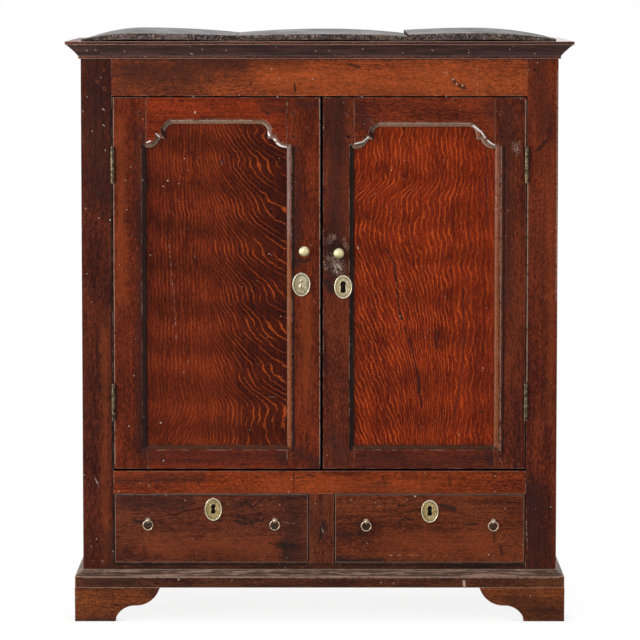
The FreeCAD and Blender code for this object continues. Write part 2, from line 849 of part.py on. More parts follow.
def moulding(name, profile, projection, level):
    """A moulding round the front and the two sides, mitred at the front corners."""
    front = new_body(name + "_front", ("side", "front", level))
    pad(front, name + "_front_run", "x", f"-{projection}", f"case_width + {projection}", profile)
    top = f"{name}_height"
    for end, outer, inner in (("left", f"-{projection}", "0"),
                              ("right", f"case_width + {projection}", "case_width")):
        pocket(front, f"{name}_{end}_mitre", "z", "0", top,
               [(outer, f"-{projection}"), (inner, "0"), (outer, "0")])
    side = new_body(name + "_side", ("side", "front", level))
    pad(side, name + "_side_run", "y", f"-{projection}", "case_depth", profile)
    pocket(side, name + "_side_mitre", "z", "0", top,
           [(f"-{projection}", f"-{projection}"), ("0", f"-{projection}"), ("0", "0")])
    return group(name + "_lengths", front, side, mirrored(name + "_right", side))


def bracket(way):
    """The cyma-cut outline of a bracket foot, from its outer corner along u."""
    def at(reach):
        return f"{way} * ({reach})"
    return [
        ("0", "0"),
        (at("foot_leg"), "0"),
        (at("foot_leg + foot_ankle_lean"), "foot_ankle"),
        (at("foot_turn"), "foot_turn_height", "foot_hollow_radius", way),
        (at("foot_spread - foot_tip_lean"), "foot_height - foot_tip_drop", "foot_lobe_radius",
         -way),
        (at("foot_spread"), "foot_height"),
        ("0", "foot_height"),
    ]


def corner_block(name, depth):
    """The glue block behind a foot's brackets, which carries the post."""
    at = ("side - foot_projection + foot_board_thickness", depth, "foot_block_lift")
    piece = new_body(name, at)
    block(piece, "glue_block", "z", ("0", "0", "0"),
          ("foot_block", "foot_block", "foot_height - foot_block_lift"))
    return piece


def front_foot():
    """A front and a side bracket, mitred together, and their block."""
    corner = ("side - foot_projection", "front - foot_projection", "0")
    thickness = "foot_board_thickness"
    facing = new_body("front_bracket", corner)
    pad(facing, "facing", "y", "0", thickness, bracket(1))
    pocket(facing, "facing_mitre", "z", "0", "foot_height",
           [("0", "0"), (thickness, thickness), ("0", thickness)])
    side = new_body("side_bracket", corner)
    pad(side, "side_facing", "x", "0", thickness, bracket(1))
    pocket(side, "side_mitre", "z", "0", "foot_height",
           [("0", "0"), (thickness, "0"), (thickness, thickness)])
    glue = corner_block("front_block", f"front - foot_projection + {thickness}")
    return [facing, side, glue]


def rear_foot():
    """A cut side bracket, a plain back bracket and their block."""
    side = new_body("rear_side_bracket", ("side - foot_projection", "front + case_depth", "0"))
    pad(side, "rear_side_facing", "x", "0", "foot_board_thickness", bracket(-1))
    back = new_body("rear_bracket",
                    ("side - foot_projection + foot_board_thickness",
                     "front + case_depth - foot_board_thickness", "0"))
    pad(back, "rear_facing", "y", "0", "foot_board_thickness",
        [("0", "0"), ("foot_leg - foot_board_thickness", "0"),
         ("rear_bracket_width - foot_board_thickness", "foot_height"), ("0", "foot_height")])
    glue = corner_block("rear_block", "front + case_depth - foot_board_thickness - foot_block")
    return [side, back, glue]


def top_board_end(name, crown, warp):
    """The outline of one end of a top board: cupped, thinner at its edges than at its crown.

    Its left edge is lifted by warp.
    """
    width, middle = f"{name}_board_width", f"{name}_board_crown_place"
    left_edge, right_edge = f"{name}_board_left_edge", f"{name}_board_right_edge"
    rest = f"({width} - {middle})"
    top = f"({crown} + {name}_board_thickness)"

    def bend(reach, rise):
        return f"({reach} * {reach} + ({rise}) * ({rise})) / (2 * ({rise}))"
    return [
        ("0", warp),
        (middle, crown, bend(middle, f"{crown} - {warp}"), 1),
        (width, "0", bend(rest, crown), 1),
        (width, right_edge),
        (middle, top, bend(rest, f"{top} - {right_edge}"), -1),
        ("0", f"{warp} + {left_edge}", bend(middle, f"{top} - {warp} - {left_edge}"), -1),
    ]


def top_board(name, start):
    """A board laid from front to back, which has cupped, most of all at its back."""
    board = new_body(name + "_board_body", (start, "front + top_board_setback", "case_top"))
    front = draw(board, name + "_board_front", "y", "0",
                 top_board_end(name, f"{name}_board_front_crown", "0"))
    back = draw(board, name + "_board_back", "y", "top_board_length",
                top_board_end(name, f"{name}_board_back_crown", f"{name}_board_warp"))
    loft = board.newObject("PartDesign::AdditiveLoft", name + "_board")
    loft.Profile = front
    loft.Sections = [back]
    loft.Ruled = True
    return board


# ---------------------------------------------------------------- doors

def sight_outline(side, spread):
    """The opening of a door frame, grown all round by spread.

    Its head has a shoulder on each side: a ledge, a round lobe, a nib, then a quarter arch
    up to the flat middle.
    """
    width, stile = f"{side}_door_width", f"{side}_stile_width"
    ledge = f"door_height - {side}_shoulder_rail"
    lobe_x = f"{stile} + head_ledge"
    lobe_bend = f"(head_lobe_radius - {spread})"
    nib_below = f"(head_lobe_radius - head_nib_rise - {spread})"
    nib_x = f"{stile} + head_nib_reach - {spread}"
    arch_bend = f"({side}_arch_radius + {spread})"
    arch_level = f"door_height - {side}_top_rail - {side}_arch_radius"
    left = [
        (f"{stile} - {spread}", f"door_bottom_rail - {spread}"),
        (f"{stile} - {spread}", f"{ledge} + {spread}"),
        (lobe_x, f"{ledge} + {spread}"),
        (f"{lobe_x} + sqrt({lobe_bend} * {lobe_bend} - {nib_below} * {nib_below})",
         f"{ledge} + head_nib_rise + {spread}", lobe_bend, -1),
        (nib_x, f"{ledge} + head_nib_rise + {spread}"),
        (nib_x, arch_level),
        (f"{nib_x} + {arch_bend}", f"{arch_level} + {arch_bend}", arch_bend, 1),
    ]
    right = []
    for index in range(len(left) - 1, -1, -1):
        corner = (f"{width} - ({left[index][0]})", left[index][1])
        arriving = left[index + 1][2:] if index + 1 < len(left) else ()
        right.append(corner + tuple(arriving))
    return left + right


def head_rail_outline(side):
    """The top rail: its lower edge is the head of the opening."""
    width, stile = f"{side}_door_width", f"{side}_stile_width"
    opening = sight_outline(side, "0")
    return opening[1:-1] + [(f"{width} - {stile}", "door_height"), (stile, "door_height")]


def door_origin():
    """Where a door's hinge-side lower front corner is."""
    return ("door_side", "front", "door_low")


def moulding_cutter(side):
    """What is worked out of a door frame: the stuck ovolo, its quirk and the panel groove."""
    cutter = new_body(side + "_frame_cutter", door_origin())
    pad(cutter, side + "_quirk", "y", "-moulding_quirk", "moulding_quirk",
        sight_outline(side, "moulding_width"))
    sections = []
    for step in range(OVOLO_STEPS + 1):
        turn = math.radians(90 * step / OVOLO_STEPS)
        spread = f"((moulding_width - moulding_quirk) * {1 - math.sin(turn):.6f})"
        fall = f"(panel_setback - moulding_quirk) * {1 - math.cos(turn):.6f}"
        sections.append(draw(cutter, f"{side}_ovolo_{step}", "y", f"moulding_quirk + {fall}",
                             sight_outline(side, spread)))
    ovolo = cutter.newObject("PartDesign::AdditiveLoft", side + "_ovolo")
    ovolo.Profile = sections[0]
    ovolo.Sections = sections[1:]
    ovolo.Ruled = True
    pad(cutter, side + "_panel_groove", "y", "panel_setback", "panel_setback + panel_thickness",
        sight_outline(side, "groove_depth"))
    return cutter


def door_stile(side, place_name):
    """A stile, with the mortises for the tenons of both rails."""
    stile = new_body(f"{side}_{place_name}_stile", door_origin())
    width = f"{side}_stile_width"
    start = "0" if place_name == "hanging" else f"{side}_door_width - {width}"
    block(stile, "stile", "z", (start, "0", "0"),
          (f"{start} + {width}", "door_thickness", "door_height"))
    reach = "door_tenon_length + mortise_spare"
    if place_name == "hanging":
        inner, outer = f"{width} - ({reach})", width
    else:
        inner, outer = start, f"{start} + {reach}"
    for name, (low, high) in door_tenons(side).items():
        slot(stile, name + "_mortise", "x", (inner, "panel_setback", low),
             (outer, "panel_setback + panel_thickness", high))
    return stile


def door_tenons(side):
    """The levels that the tenons of the two door rails span."""
    return {
        "bottom": ("door_tenon_haunch", "door_bottom_rail - tenon_shoulder"),
        "top": (f"door_height - {side}_shoulder_rail + tenon_shoulder",
                "door_height - door_tenon_haunch"),
    }


def door_rail(side, name):
    """A door rail between the stiles, with a tenon on each end."""
    rail = new_body(f"{side}_{name}_rail", door_origin())
    stile, width = f"{side}_stile_width", f"{side}_door_width"
    if name == "top":
        corners = head_rail_outline(side)
    else:
        corners = rectangle((stile, "0"), (f"{width} - {stile}", "door_bottom_rail"))
    pad(rail, name + "_rail", "y", "0", "door_thickness", corners)
    low, high = door_tenons(side)[name]
    block(rail, name + "_tenons", "x", (f"{stile} - door_tenon_length", "panel_setback", low),
          (f"{width} - {stile} + door_tenon_length", "panel_setback + panel_thickness", high))
    return rail


def door_panel(side):
    """The flat panel, shaped like the opening and loose in its groove."""
    panel = new_body(side + "_panel", door_origin())
    pad(panel, "panel", "y", "panel_setback", "panel_setback + panel_thickness",
        sight_outline(side, "(groove_depth - panel_clearance)"))
    return panel


def door_pegs(side):
    """Two pegs through each end of the top rail and one through each end of the bottom rail."""
    levels = {
        "top": "door_height - door_top_peg",
        "second": "door_height - door_second_peg",
        "bottom": "door_bottom_peg",
    }
    pegs = {}
    for place_name in ("hanging", "meeting"):
        inset = f"({side}_stile_width - door_peg_inset)"
        if place_name == "meeting":
            inset = f"({side}_door_width - {inset})"
        pegs[place_name] = group(f"{side}_{place_name}_pegs", *[
            cylinder("door_peg", "y",
                     (f"door_side + {inset}", "front - peg_proud", f"door_low + {level}"),
                     "peg_diameter / 2", "door_thickness + peg_proud")
            for level in levels.values()])
    return pegs


def hinge_leaf(name, level, own):
    """One leaf of a butt hinge with its own knuckles, on the hinge's axis."""
    leaf = new_body(name, ("hinge_axis_side", "hinge_axis_front", f"foot_height + {level}"))
    pitch = f"hinge_height / {KNUCKLES}"
    for_post = 0 in own
    near, far = ("-hinge_gap / 2 - leaf_thickness", "-hinge_gap / 2")
    if not for_post:
        near, far = ("hinge_gap / 2", "hinge_gap / 2 + leaf_thickness")
    face, past = "knuckle_radius + knuckle_clearance", "(knuckle_radius + overcut)"
    block(leaf, "leaf", "z", (near, "0", "0"), (far, f"{face} + leaf_depth", "hinge_height"))
    round_pad(leaf, "barrel", "knuckle_radius", "0", "hinge_height")
    for index in range(KNUCKLES):
        if index in own:
            continue
        slot(leaf, f"knuckle_room_{index}", "z",
             (f"-{past}", f"-{past}", f"{index} * {pitch} - knuckle_gap / 2"),
             (past, face, f"{index + 1} * {pitch} + knuckle_gap / 2"))
    bore = "hinge_pin_radius" if for_post else "hinge_pin_radius + hinge_pin_clearance"
    round_pad(leaf, "bore", bore, "0", "hinge_height", kind="PartDesign::Pocket")
    return leaf


def round_pad(body, name, radius, low, high, kind="PartDesign::Pad"):
    """A cylinder on the body's own z axis, added or cut away."""
    sketch = body.newObject("Sketcher::SketchObject", name + "_circle")
    sketch.AttachmentSupport = [(origin_plane(body, "XY_Plane"), "")]
    sketch.MapMode = "FlatFace"
    sketch.setExpression("AttachmentOffset.Base.z", bound(low))
    circle = Part.Circle(FreeCAD.Vector(), FreeCAD.Vector(0, 0, 1), value(radius))
    sketch.addGeometry(circle, False)
    sketch.addConstraint(Sketcher.Constraint("Coincident", 0, 3, -1, 1))
    bind(sketch, Sketcher.Constraint("Radius", 0, value(radius)), "circle_radius", radius)
    feature = body.newObject(kind, name)
    feature.Profile = sketch
    feature.setExpression("Length", bound(f"({high}) - ({low})"))
    feature.Reversed = kind.endswith("Pocket")
    return feature


def hinges():
    """The leaves and pins of one door's two hinges."""
    post_leaves, door_leaves, pins = [], [], []
    for name, level in HINGE_LEVELS.items():
        post_leaves.append(hinge_leaf(name + "_post_leaf", level, range(0, KNUCKLES, 2)))
        door_leaves.append(hinge_leaf(name + "_door_leaf", level, range(1, KNUCKLES, 2)))
        at = ("hinge_axis_side", "hinge_axis_front", f"foot_height + {level}")
        pins.append(cylinder(name + "_pin", "z", at, "hinge_pin_radius", "hinge_height"))
    return post_leaves, door_leaves, pins


def knob(side):
    """A turned brass knob: shank in the stile, collar, neck and mushroom head."""
    body = new_body(side + "_knob", (f"door_side + {side}_door_width - knob_inset", "front",
                                     f"door_low + {side}_knob_height"))
    dome = "(knob_length - knob_neck_length - knob_rim_depth)"
    profile = draw(body, side + "_knob_profile", "z", "0", [
        ("0", "knob_shank_length"),
        ("0", "-knob_length"),
        ("knob_radius", f"{dome} - knob_length",
         f"(knob_radius * knob_radius + {dome} * {dome}) / (2 * {dome})", -1),
        ("knob_neck_radius", "-knob_neck_length"),
        ("knob_waist_radius", "-knob_neck_length / 2"),
        ("knob_foot_radius", "-knob_foot_length"),
        ("knob_foot_radius", "0"),
        ("knob_shank_radius", "0"),
        ("knob_shank_radius", "knob_shank_length"),
    ])
    turning = body.newObject("PartDesign::Revolution", side + "_turning")
    turning.Profile = profile
    turning.ReferenceAxis = (profile, ["V_Axis"])
    turning.Angle = 360
    return body


def oval(name, width, height, thickness, centre, start):
    """An upright oval plate that stands proud of a face, towards the front."""
    ellipse = doc.addObject("Part::Ellipse", name + "_ellipse")
    upright = FreeCAD.Rotation(FreeCAD.Vector(0, 0, 1), FreeCAD.Vector(1, 0, 0),
                               FreeCAD.Vector(0, 1, 0), "ZXY")
    ellipse.Placement = FreeCAD.Placement(FreeCAD.Vector(), upright)
    ellipse.setExpression("MajorRadius", bound(f"({height}) / 2"))
    ellipse.setExpression("MinorRadius", bound(f"({width}) / 2"))
    place(ellipse, (centre[0], f"{centre[1]} - {start}", centre[2]))
    plate = doc.addObject("Part::Extrusion", name)
    plate.Base = ellipse
    plate.DirMode = "Custom"
    plate.Dir = FreeCAD.Vector(0, -1, 0)
    plate.Solid = True
    plate.setExpression("LengthFwd", bound(thickness))
    return plate


def keyhole(name, kind, centre, start, depth):
    """A round-headed keyhole with a flared foot, from start to depth along y, as a solid."""
    hole = new_body(name, (centre[0], start, f"{centre[2]} + keyhole_rise"))
    radius, waist = f"{kind}_keyhole_radius", f"{kind}_keyhole_waist / 2"
    foot, drop = f"{kind}_keyhole_foot / 2", f"{kind}_keyhole_drop"
    neck = f"-sqrt({radius} * {radius} - {waist} * {waist})"
    foot_bend = f"({foot} * {foot} + keyhole_foot_bow * keyhole_foot_bow) / (2 * keyhole_foot_bow)"
    pad(hole, name + "_bore", "y", "0", depth,
        [(f"-{waist}", neck),
         ("0", radius, radius, 1),
         (waist, neck, radius, 1),
         (foot, f"keyhole_foot_bow - {drop}"),
         ("0", f"-{drop}", foot_bend, 1),
         (f"-{foot}", f"keyhole_foot_bow - {drop}", foot_bend, 1)])
    return hole


def escutcheon(name, kind, centre, hole):
    """An oval plate with a raised rim; a hole pierces it, or a boss stands on it."""
    width, height = f"{kind}_escutcheon_width", f"{kind}_escutcheon_height"
    plate = oval(name + "_plate", width, height, "plate_thickness", centre, "0")
    recess = oval(name + "_recess", f"{width} - 2 * plate_rim", f"{height} - 2 * plate_rim",
                  "plate_recess", centre, "(plate_thickness - plate_recess)")
    if hole:
        return cut(name + "_pierced", cut(name + "_dished", plate, recess), hole)
    boss = keyhole(name + "_boss", kind, centre,
                   f"{centre[1]} - plate_thickness - keyhole_boss_height + plate_recess",
                   "keyhole_boss_height")
    whole = doc.addObject("Part::Fuse", name + "_whole")
    whole.Base = cut(name + "_dished", plate, recess)
    whole.Tool = boss
    return whole


def door_lock():
    """The iron lock let into the back of the right meeting stile, and its bolt."""
    at = ("door_side + right_door_width - door_lock_width",
          "front + door_thickness - lock_depth",
          "door_low + door_bolt_level - door_lock_height / 2")
    box = new_body("door_lock_box", at)
    block(box, "case", "y", ("0", "0", "0"), ("door_lock_width", "lock_depth", "door_lock_height"))
    middle = "door_lock_height / 2"
    start = "door_lock_width - bolt_set_back - door_bolt_length"
    half = "door_bolt_height / 2"
    slot(box, "bolt_way", "x",
         (f"{start} - bolt_clearance", "bolt_front - bolt_clearance",
          f"{middle} - {half} - bolt_clearance"),
         ("door_lock_width", "bolt_front + bolt_thickness + bolt_clearance",
          f"{middle} + {half} + bolt_clearance"))
    bolt = new_body("door_lock_bolt", at)
    block(bolt, "bolt", "x", (start, "bolt_front", f"{middle} - {half}"),
          (f"{start} + door_bolt_length", "bolt_front + bolt_thickness", f"{middle} + {half}"))
    return box, bolt


def strike(stile):
    """The mortise in the left meeting stile, which the lock bolt shoots into."""
    front = "door_thickness - lock_depth + bolt_front - mortise_clearance"
    half = "door_bolt_height / 2 + mortise_clearance"
    depth = "door_bolt_throw - meeting_gap + mortise_clearance"
    slot(stile, "strike_mortise", "x",
         (f"left_door_width - ({depth})", front, f"door_bolt_level - ({half})"),
         ("left_door_width", f"{front} + bolt_thickness + 2 * mortise_clearance",
          f"door_bolt_level + {half}"))


def left_door_bolt(stile):
    """The flush bolt on the back of the left meeting stile: its plate, and the sliding bolt."""
    centre = "left_door_width - latch_inset"
    back = "door_thickness - latch_plate_thickness"
    way_front = f"{back} - bolt_thickness - bolt_clearance"
    slot(stile, "latch_plate_recess", "y",
         (f"{centre} - latch_plate_width / 2", back, "door_height - latch_plate_length"),
         (f"{centre} + latch_plate_width / 2", "door_thickness", "door_height"))
    slot(stile, "latch_way", "y",
         (f"{centre} - latch_width / 2 - bolt_clearance", f"{way_front} - bolt_clearance",
          "latch_low - bolt_clearance"),
         (f"{centre} + latch_width / 2 + bolt_clearance", back, "door_height"))
    plate = new_body("latch_plate", door_origin())
    block(plate, "latch_plate", "y",
          (f"{centre} - latch_plate_width / 2", back, "door_height - latch_plate_length"),
          (f"{centre} + latch_plate_width / 2", "door_thickness", "door_height"))
    button_level = "latch_low + latch_length / 2"
    half_slot = "latch_button_radius + bolt_clearance"
    slot(plate, "button_slot", "y",
         (f"{centre} - ({half_slot})", back, f"{button_level} - ({half_slot})"),
         (f"{centre} + {half_slot}", "door_thickness", f"{button_level} + {half_slot} + latch_throw"))
    bolt = new_body("latch_bolt", door_origin())
    block(bolt, "latch_bar", "z", (f"{centre} - latch_width / 2", way_front, "latch_low"),
          (f"{centre} + latch_width / 2", f"{way_front} + bolt_thickness", "latch_low + latch_length"))
    button = cylinder("latch_button", "y",
                      (f"door_side + {centre}", f"front + {way_front} + bolt_thickness",
                       f"door_low + {button_level}"), "latch_button_radius",
                      "latch_plate_thickness + latch_button_length")
    sliding = doc.addObject("Part::Fuse", "latch_bolt_with_button")
    sliding.Base = bolt
    sliding.Tool = button
    return plate, sliding


def door(side, door_leaves):
    """All the wooden pieces and the brass of one door, as they stand on the left."""
    pegs = door_pegs(side)
    cutter = moulding_cutter(side)
    stiles = {name: door_stile(side, name) for name in ("hanging", "meeting")}
    for name, level in HINGE_LEVELS.items():
        low = f"{level} + foot_height - door_low"
        slot(stiles["hanging"], name + "_leaf_recess", "x", ("0", "0", low),
             ("leaf_thickness", "leaf_depth", f"{low} + hinge_height"))
    grip = knob(side)
    centre = (f"door_side + {side}_door_width - {side}_door_plate_inset", "front",
              f"door_low + {side}_door_plate_height")
    meeting_room = [cutter, pegs["meeting"], grip]
    pieces = {}
    if side == "left":
        strike(stiles["meeting"])
        pieces["bolt_plate"], pieces["bolt"] = left_door_bolt(stiles["meeting"])
        pieces["escutcheon"] = escutcheon("left_door_escutcheon", "door", centre, None)
    else:
        hole = keyhole("door_keyhole", "door", centre, "front - plate_thickness",
                       "plate_thickness + door_thickness - lock_depth + keyhole_in_lock")
        box, pieces["lock_bolt"] = door_lock()
        pieces["lock"] = cut("door_lock_pierced", box, hole)
        pieces["escutcheon"] = escutcheon("right_door_escutcheon", "door", centre, hole)
        meeting_room += [box_room("door_lock_room", box), hole]
    pieces["hanging_stile"] = cut(side + "_hanging_stile_worked", stiles["hanging"], cutter,
                                  pegs["hanging"])
    pieces["meeting_stile"] = cut(side + "_meeting_stile_worked", stiles["meeting"], *meeting_room)
    pieces["rails"] = group(side + "_rails", *[
        cut(f"{side}_{name}_rail_worked", door_rail(side, name), cutter, *pegs.values())
        for name in ("top", "bottom")])
    pieces["panel"] = door_panel(side)
    pieces["pegs"] = group(side + "_pegs", *pegs.values())
    pieces["knob"] = grip
    pieces["hinge_leaves"] = group(side + "_hinge_leaves", *door_leaves)
    return pieces


def box_room(name, lock_body):
    """The recess for a lock: a block as large as its case, without the bolt's way."""
    room = doc.addObject("Part::Box", name)
    kind = "door_lock" if name.startswith("door") else "drawer_lock"
    room.setExpression("Length", bound(kind + "_width"))
    room.setExpression("Width", bound("lock_depth"))
    room.setExpression("Height", bound(kind + "_height"))
    for letter in "xyz":
        room.setExpression(f"Placement.Base.{letter}", f"{lock_body.Name}.Placement.Base.{letter}")
    return room


# ---------------------------------------------------------------- drawers

def drawer_side(side, name):
    """A drawer side with its dovetails towards the front and a groove for the bottom."""
    board = new_body(f"{side}_drawer_{name}_side",
                     ("drawer_side" if name == "outer" else
                      f"drawer_side + {side}_drawer_width - drawer_side_thickness",
                      "front + drawer_front_thickness", "drawer_low - drawer_rise"))
    height = "(drawer_side_height + drawer_rise)"
    length = "drawer_length - drawer_front_thickness"
    block(board, "board", "x", ("0", "0", "0"), ("drawer_side_thickness", length, height))
    for index in range(DOVETAILS):
        level = f"{height} * {index + 0.5} / {DOVETAILS}"
        pad(board, f"dovetail_{index + 1}", "x", "0", "drawer_side_thickness",
            [("0", f"{level} - dovetail_root_width / 2"),
             ("0", f"{level} + dovetail_root_width / 2"),
             ("-dovetail_length", f"{level} + dovetail_end_width / 2"),
             ("-dovetail_length", f"{level} - dovetail_end_width / 2")])
    start = "drawer_side_thickness - drawer_groove" if name == "outer" else "0"
    slot(board, "bottom_groove", "y", (start, "-drawer_groove", "drawer_bottom_lift"),
         (f"{start} + drawer_groove", length, "drawer_bottom_lift + drawer_bottom_thickness"))
    return board


def drawer_board(name, side, low, high):
    """A plain board of a drawer, between two corners in the drawer's own frame."""
    board = new_body(f"{side}_drawer_{name}", ("drawer_side", "front", "drawer_low - drawer_rise"))
    block(board, name, "z", low, high)
    return board


def ring_post(name, side, centre):
    """A turned post with a ball head, pierced for the ring."""
    post = new_body(name, centre)
    bend = "ring_ball_radius"
    profile = draw(post, name + "_profile", "z", "0", [
        ("0", "drawer_front_thickness"),
        ("0", "-ring_stand_off - ring_ball_radius"),
        ("ring_ball_radius", "-ring_stand_off", bend, -1),
        ("ring_post_radius", "-ring_stand_off + sqrt(ring_ball_radius * ring_ball_radius"
         " - ring_post_radius * ring_post_radius)", bend, -1),
        ("ring_post_radius", "-ring_collar_thickness"),
        ("ring_collar_radius", "-ring_collar_thickness"),
        ("ring_collar_radius", "0"),
        ("ring_post_radius", "0"),
        ("ring_post_radius", "drawer_front_thickness"),
    ])
    turning = post.newObject("PartDesign::Revolution", name + "_turning")
    turning.Profile = profile
    turning.ReferenceAxis = (profile, ["V_Axis"])
    turning.Angle = 360
    eye = cylinder(name + "_eye", "x",
                   (f"{centre[0]} - ring_ball_radius - overcut", f"{centre[1]} - ring_stand_off",
                    centre[2]),
                   "ring_wire_radius + ring_eye_clearance", "2 * (ring_ball_radius + overcut)")
    return cut(name + "_pierced", post, eye)


def ring(name, centre):
    """A round wire ring that hangs in its post's eye."""
    torus = doc.addObject("Part::Torus", name)
    torus.Placement = FreeCAD.Placement(FreeCAD.Vector(), TURNS["y"])
    place(torus, (centre[0], f"{centre[1]} - ring_stand_off",
                  f"{centre[2]} - ring_radius + ring_lift"))
    torus.setExpression("Radius1", bound("ring_radius"))
    torus.setExpression("Radius2", bound("ring_wire_radius"))
    return torus


def drawer_lock(side, centre_x):
    """The iron lock let into the back of a drawer front, and its upright bolt."""
    at = (f"{centre_x} - drawer_lock_width / 2", "front + drawer_front_thickness - lock_depth",
          "drawer_low + drawer_front_height - drawer_lock_height")
    box = new_body(side + "_drawer_lock_box", at)
    block(box, "case", "y", ("0", "0", "0"),
          ("drawer_lock_width", "lock_depth", "drawer_lock_height"))
    middle, half = "drawer_lock_width / 2", "drawer_bolt_width / 2"
    start = "drawer_lock_height - bolt_set_back - drawer_bolt_length"
    slot(box, "bolt_way", "z",
         (f"{middle} - {half} - bolt_clearance", "bolt_front - bolt_clearance",
          f"{start} - bolt_clearance"),
         (f"{middle} + {half} + bolt_clearance", "bolt_front + bolt_thickness + bolt_clearance",
          "drawer_lock_height"))
    bolt = new_body(side + "_drawer_bolt", at)
    block(bolt, "bolt", "z", (f"{middle} - {half}", "bolt_front", start),
          (f"{middle} + {half}", "bolt_front + bolt_thickness", f"{start} + drawer_bolt_length"))
    return box, bolt


def drawer(side):
    """All the pieces of one drawer, as it stands on the left."""
    width = f"{side}_drawer_width"
    sides = [drawer_side(side, name) for name in ("outer", "inner")]
    inner_edge = f"{width} - drawer_side_thickness"
    back = drawer_board("back", side,
                        ("drawer_side_thickness", "drawer_length - drawer_side_thickness",
                         "drawer_bottom_lift + drawer_bottom_thickness"),
                        (inner_edge, "drawer_length", "drawer_back_height"))
    bottom = drawer_board("bottom", side,
                          ("drawer_side_thickness - drawer_groove",
                           "drawer_front_thickness - drawer_groove", "drawer_bottom_lift"),
                          (f"{inner_edge} + drawer_groove", "drawer_length",
                           "drawer_bottom_lift + drawer_bottom_thickness"))
    front = new_body(side + "_drawer_front_body", ("drawer_side", "front", "drawer_low"))
    block(front, "front", "y", ("0", "0", "0"),
          (width, "drawer_front_thickness", "drawer_front_height"))
    centre_x = f"drawer_side + {width} / 2 + {side}_drawer_plate_offset"
    centre = (centre_x, "front", f"drawer_low + {side}_drawer_plate_level")
    hole = keyhole(side + "_drawer_keyhole", "drawer", centre, "front - plate_thickness",
                   "plate_thickness + drawer_front_thickness - lock_depth + keyhole_in_lock")
    box, bolt = drawer_lock(side, centre_x)
    ring_level = f"drawer_low + {side}_ring_level"
    ring_places = {
        "outer": (f"drawer_side + {side}_ring_inset", "front", ring_level),
        "inner": (f"drawer_side + {width} - {side}_ring_inset", "front", ring_level),
    }
    posts = [ring_post(f"{side}_{name}_ring_post", side, at) for name, at in ring_places.items()]
    pieces = {f"{name}_ring": ring(f"{side}_{name}_ring", at) for name, at in ring_places.items()}
    pieces["ring_posts"] = group(side + "_ring_posts", *posts)
    pieces["box"] = group(side + "_box", *sides, back, bottom)
    pieces["front"] = cut(side + "_drawer_front_worked", front, *sides, bottom,
                          box_room(side + "_drawer_lock_room", box), hole, *posts)
    pieces["escutcheon"] = escutcheon(side + "_drawer_plate", "drawer", centre, hole)
    pieces["lock"] = cut(side + "_drawer_lock_pierced", box, hole)
    pieces["lock_bolt"] = bolt
    return pieces


# ---------------------------------------------------------------- the press, put together

def carcase():
    """Everything that stands still."""
    face_pegs, end_pegs = front_pegs(), side_pegs()
    right_face_pegs = mirrored("right_front_pegs", face_pegs)
    left_post = node("left_front_post", front_post([face_pegs, end_pegs]))
    node("right_front_post", mirrored("right_front_post_mirror", left_post))
    left_rear = rear_post(end_pegs)
    node("rear_posts", group("rear_post_pair", left_rear, mirrored("right_rear_post", left_rear)))
    rails = front_rails([face_pegs, right_face_pegs])
    node("frieze_rail", rails["top"])
    node("middle_rail", rails["middle"])
    node("bottom_rail", rails["bottom"])
    node("drawer_divider", drawer_divider())
    node("rear_rails", group("rear_rail_set", *rear_rails()))
    left_rails = [cut(name + "_side_rail_bored", side_rail(name, low, high), end_pegs)
                  for name, (low, high) in RAILS.items()]
    left_rail_set = group("left_side_rail_set", *left_rails)
    node("side_rails", group("side_rail_set", left_rail_set,
                             mirrored("right_side_rail_set", left_rail_set)))
    left_panels = group("left_side_panel_set", *[
        side_panel(name, low, high) for name, (low, high) in SIDE_PANELS.items()])
    node("side_panels", group("side_panel_set", left_panels,
                              mirrored("right_side_panel_set", left_panels)))
    node("back_boards", group("back_board_set", *back_boards()))
    node("cupboard_floor", cupboard_floor())
    node("shelves", group("shelf_set", *shelves()))
    left_bearers = group("left_bearers", *[shelf_bearer(index) for index in range(SHELVES)])
    node("shelf_bearers", group("bearer_set", left_bearers,
                                mirrored("right_bearers", left_bearers)))
    left_runner = side_runner()
    node("drawer_runners", group("runner_set", left_runner, centre_runner(),
                                 mirrored("right_runner", left_runner)))
    node("frame_pegs", group("frame_peg_set", face_pegs, end_pegs, right_face_pegs,
                             mirrored("right_side_pegs", end_pegs)))
    node("cornice", moulding("cornice", CORNICE, "cornice_projection",
                             "case_top - cornice_height"))
    node("base_moulding", moulding("base", BASE, "base_projection", "foot_height"))
    for name, foot in (("front_feet", front_foot()), ("rear_feet", rear_foot())):
        left_foot = group("left_" + name, *foot)
        node(name, group(name + "_set", left_foot, mirrored("right_" + name, left_foot)))
    start = "side + top_board_left_inset"
    for name in ("left", "centre", "right"):
        node(f"top_board_{name}", top_board(name, start))
        start = f"{start} + {name}_board_width + top_board_gap"


def doors():
    """Both doors with their hinges; the right one is modelled on the left and mirrored."""
    post_leaves, door_leaves, pins = hinges()
    left_leaves = group("left_post_leaves", *post_leaves, *pins)
    node("hinge_post_leaves", group("post_leaf_set", left_leaves,
                                    mirrored("right_post_leaves", left_leaves)))
    for piece_name, piece in door("left", door_leaves).items():
        node("left_door_" + piece_name, piece)
    for piece_name, piece in door("right", door_leaves).items():
        node("right_door_" + piece_name, mirrored("right_door_" + piece_name, piece))


def drawers():
    """Both drawers; the right one is modelled on the left and mirrored."""
    for piece_name, piece in drawer("left").items():
        node("left_drawer_" + piece_name, piece)
    for piece_name, piece in drawer("right").items():
        node("right_drawer_" + piece_name, mirrored("right_drawer_" + piece_name, piece))


def check():
    """Stop if any object failed or any sub-part isn't one or more valid solids."""
    failed = [thing.Label for thing in doc.Objects
              if "Invalid" in thing.State or "Error" in thing.State]
    if failed:
        raise RuntimeError("failed objects: " + ", ".join(failed))
    for piece in NODES:
        shape = piece.Shape
        if shape.isNull() or not shape.isValid() or not shape.Solids:
            raise RuntimeError("bad shape: " + piece.Label)


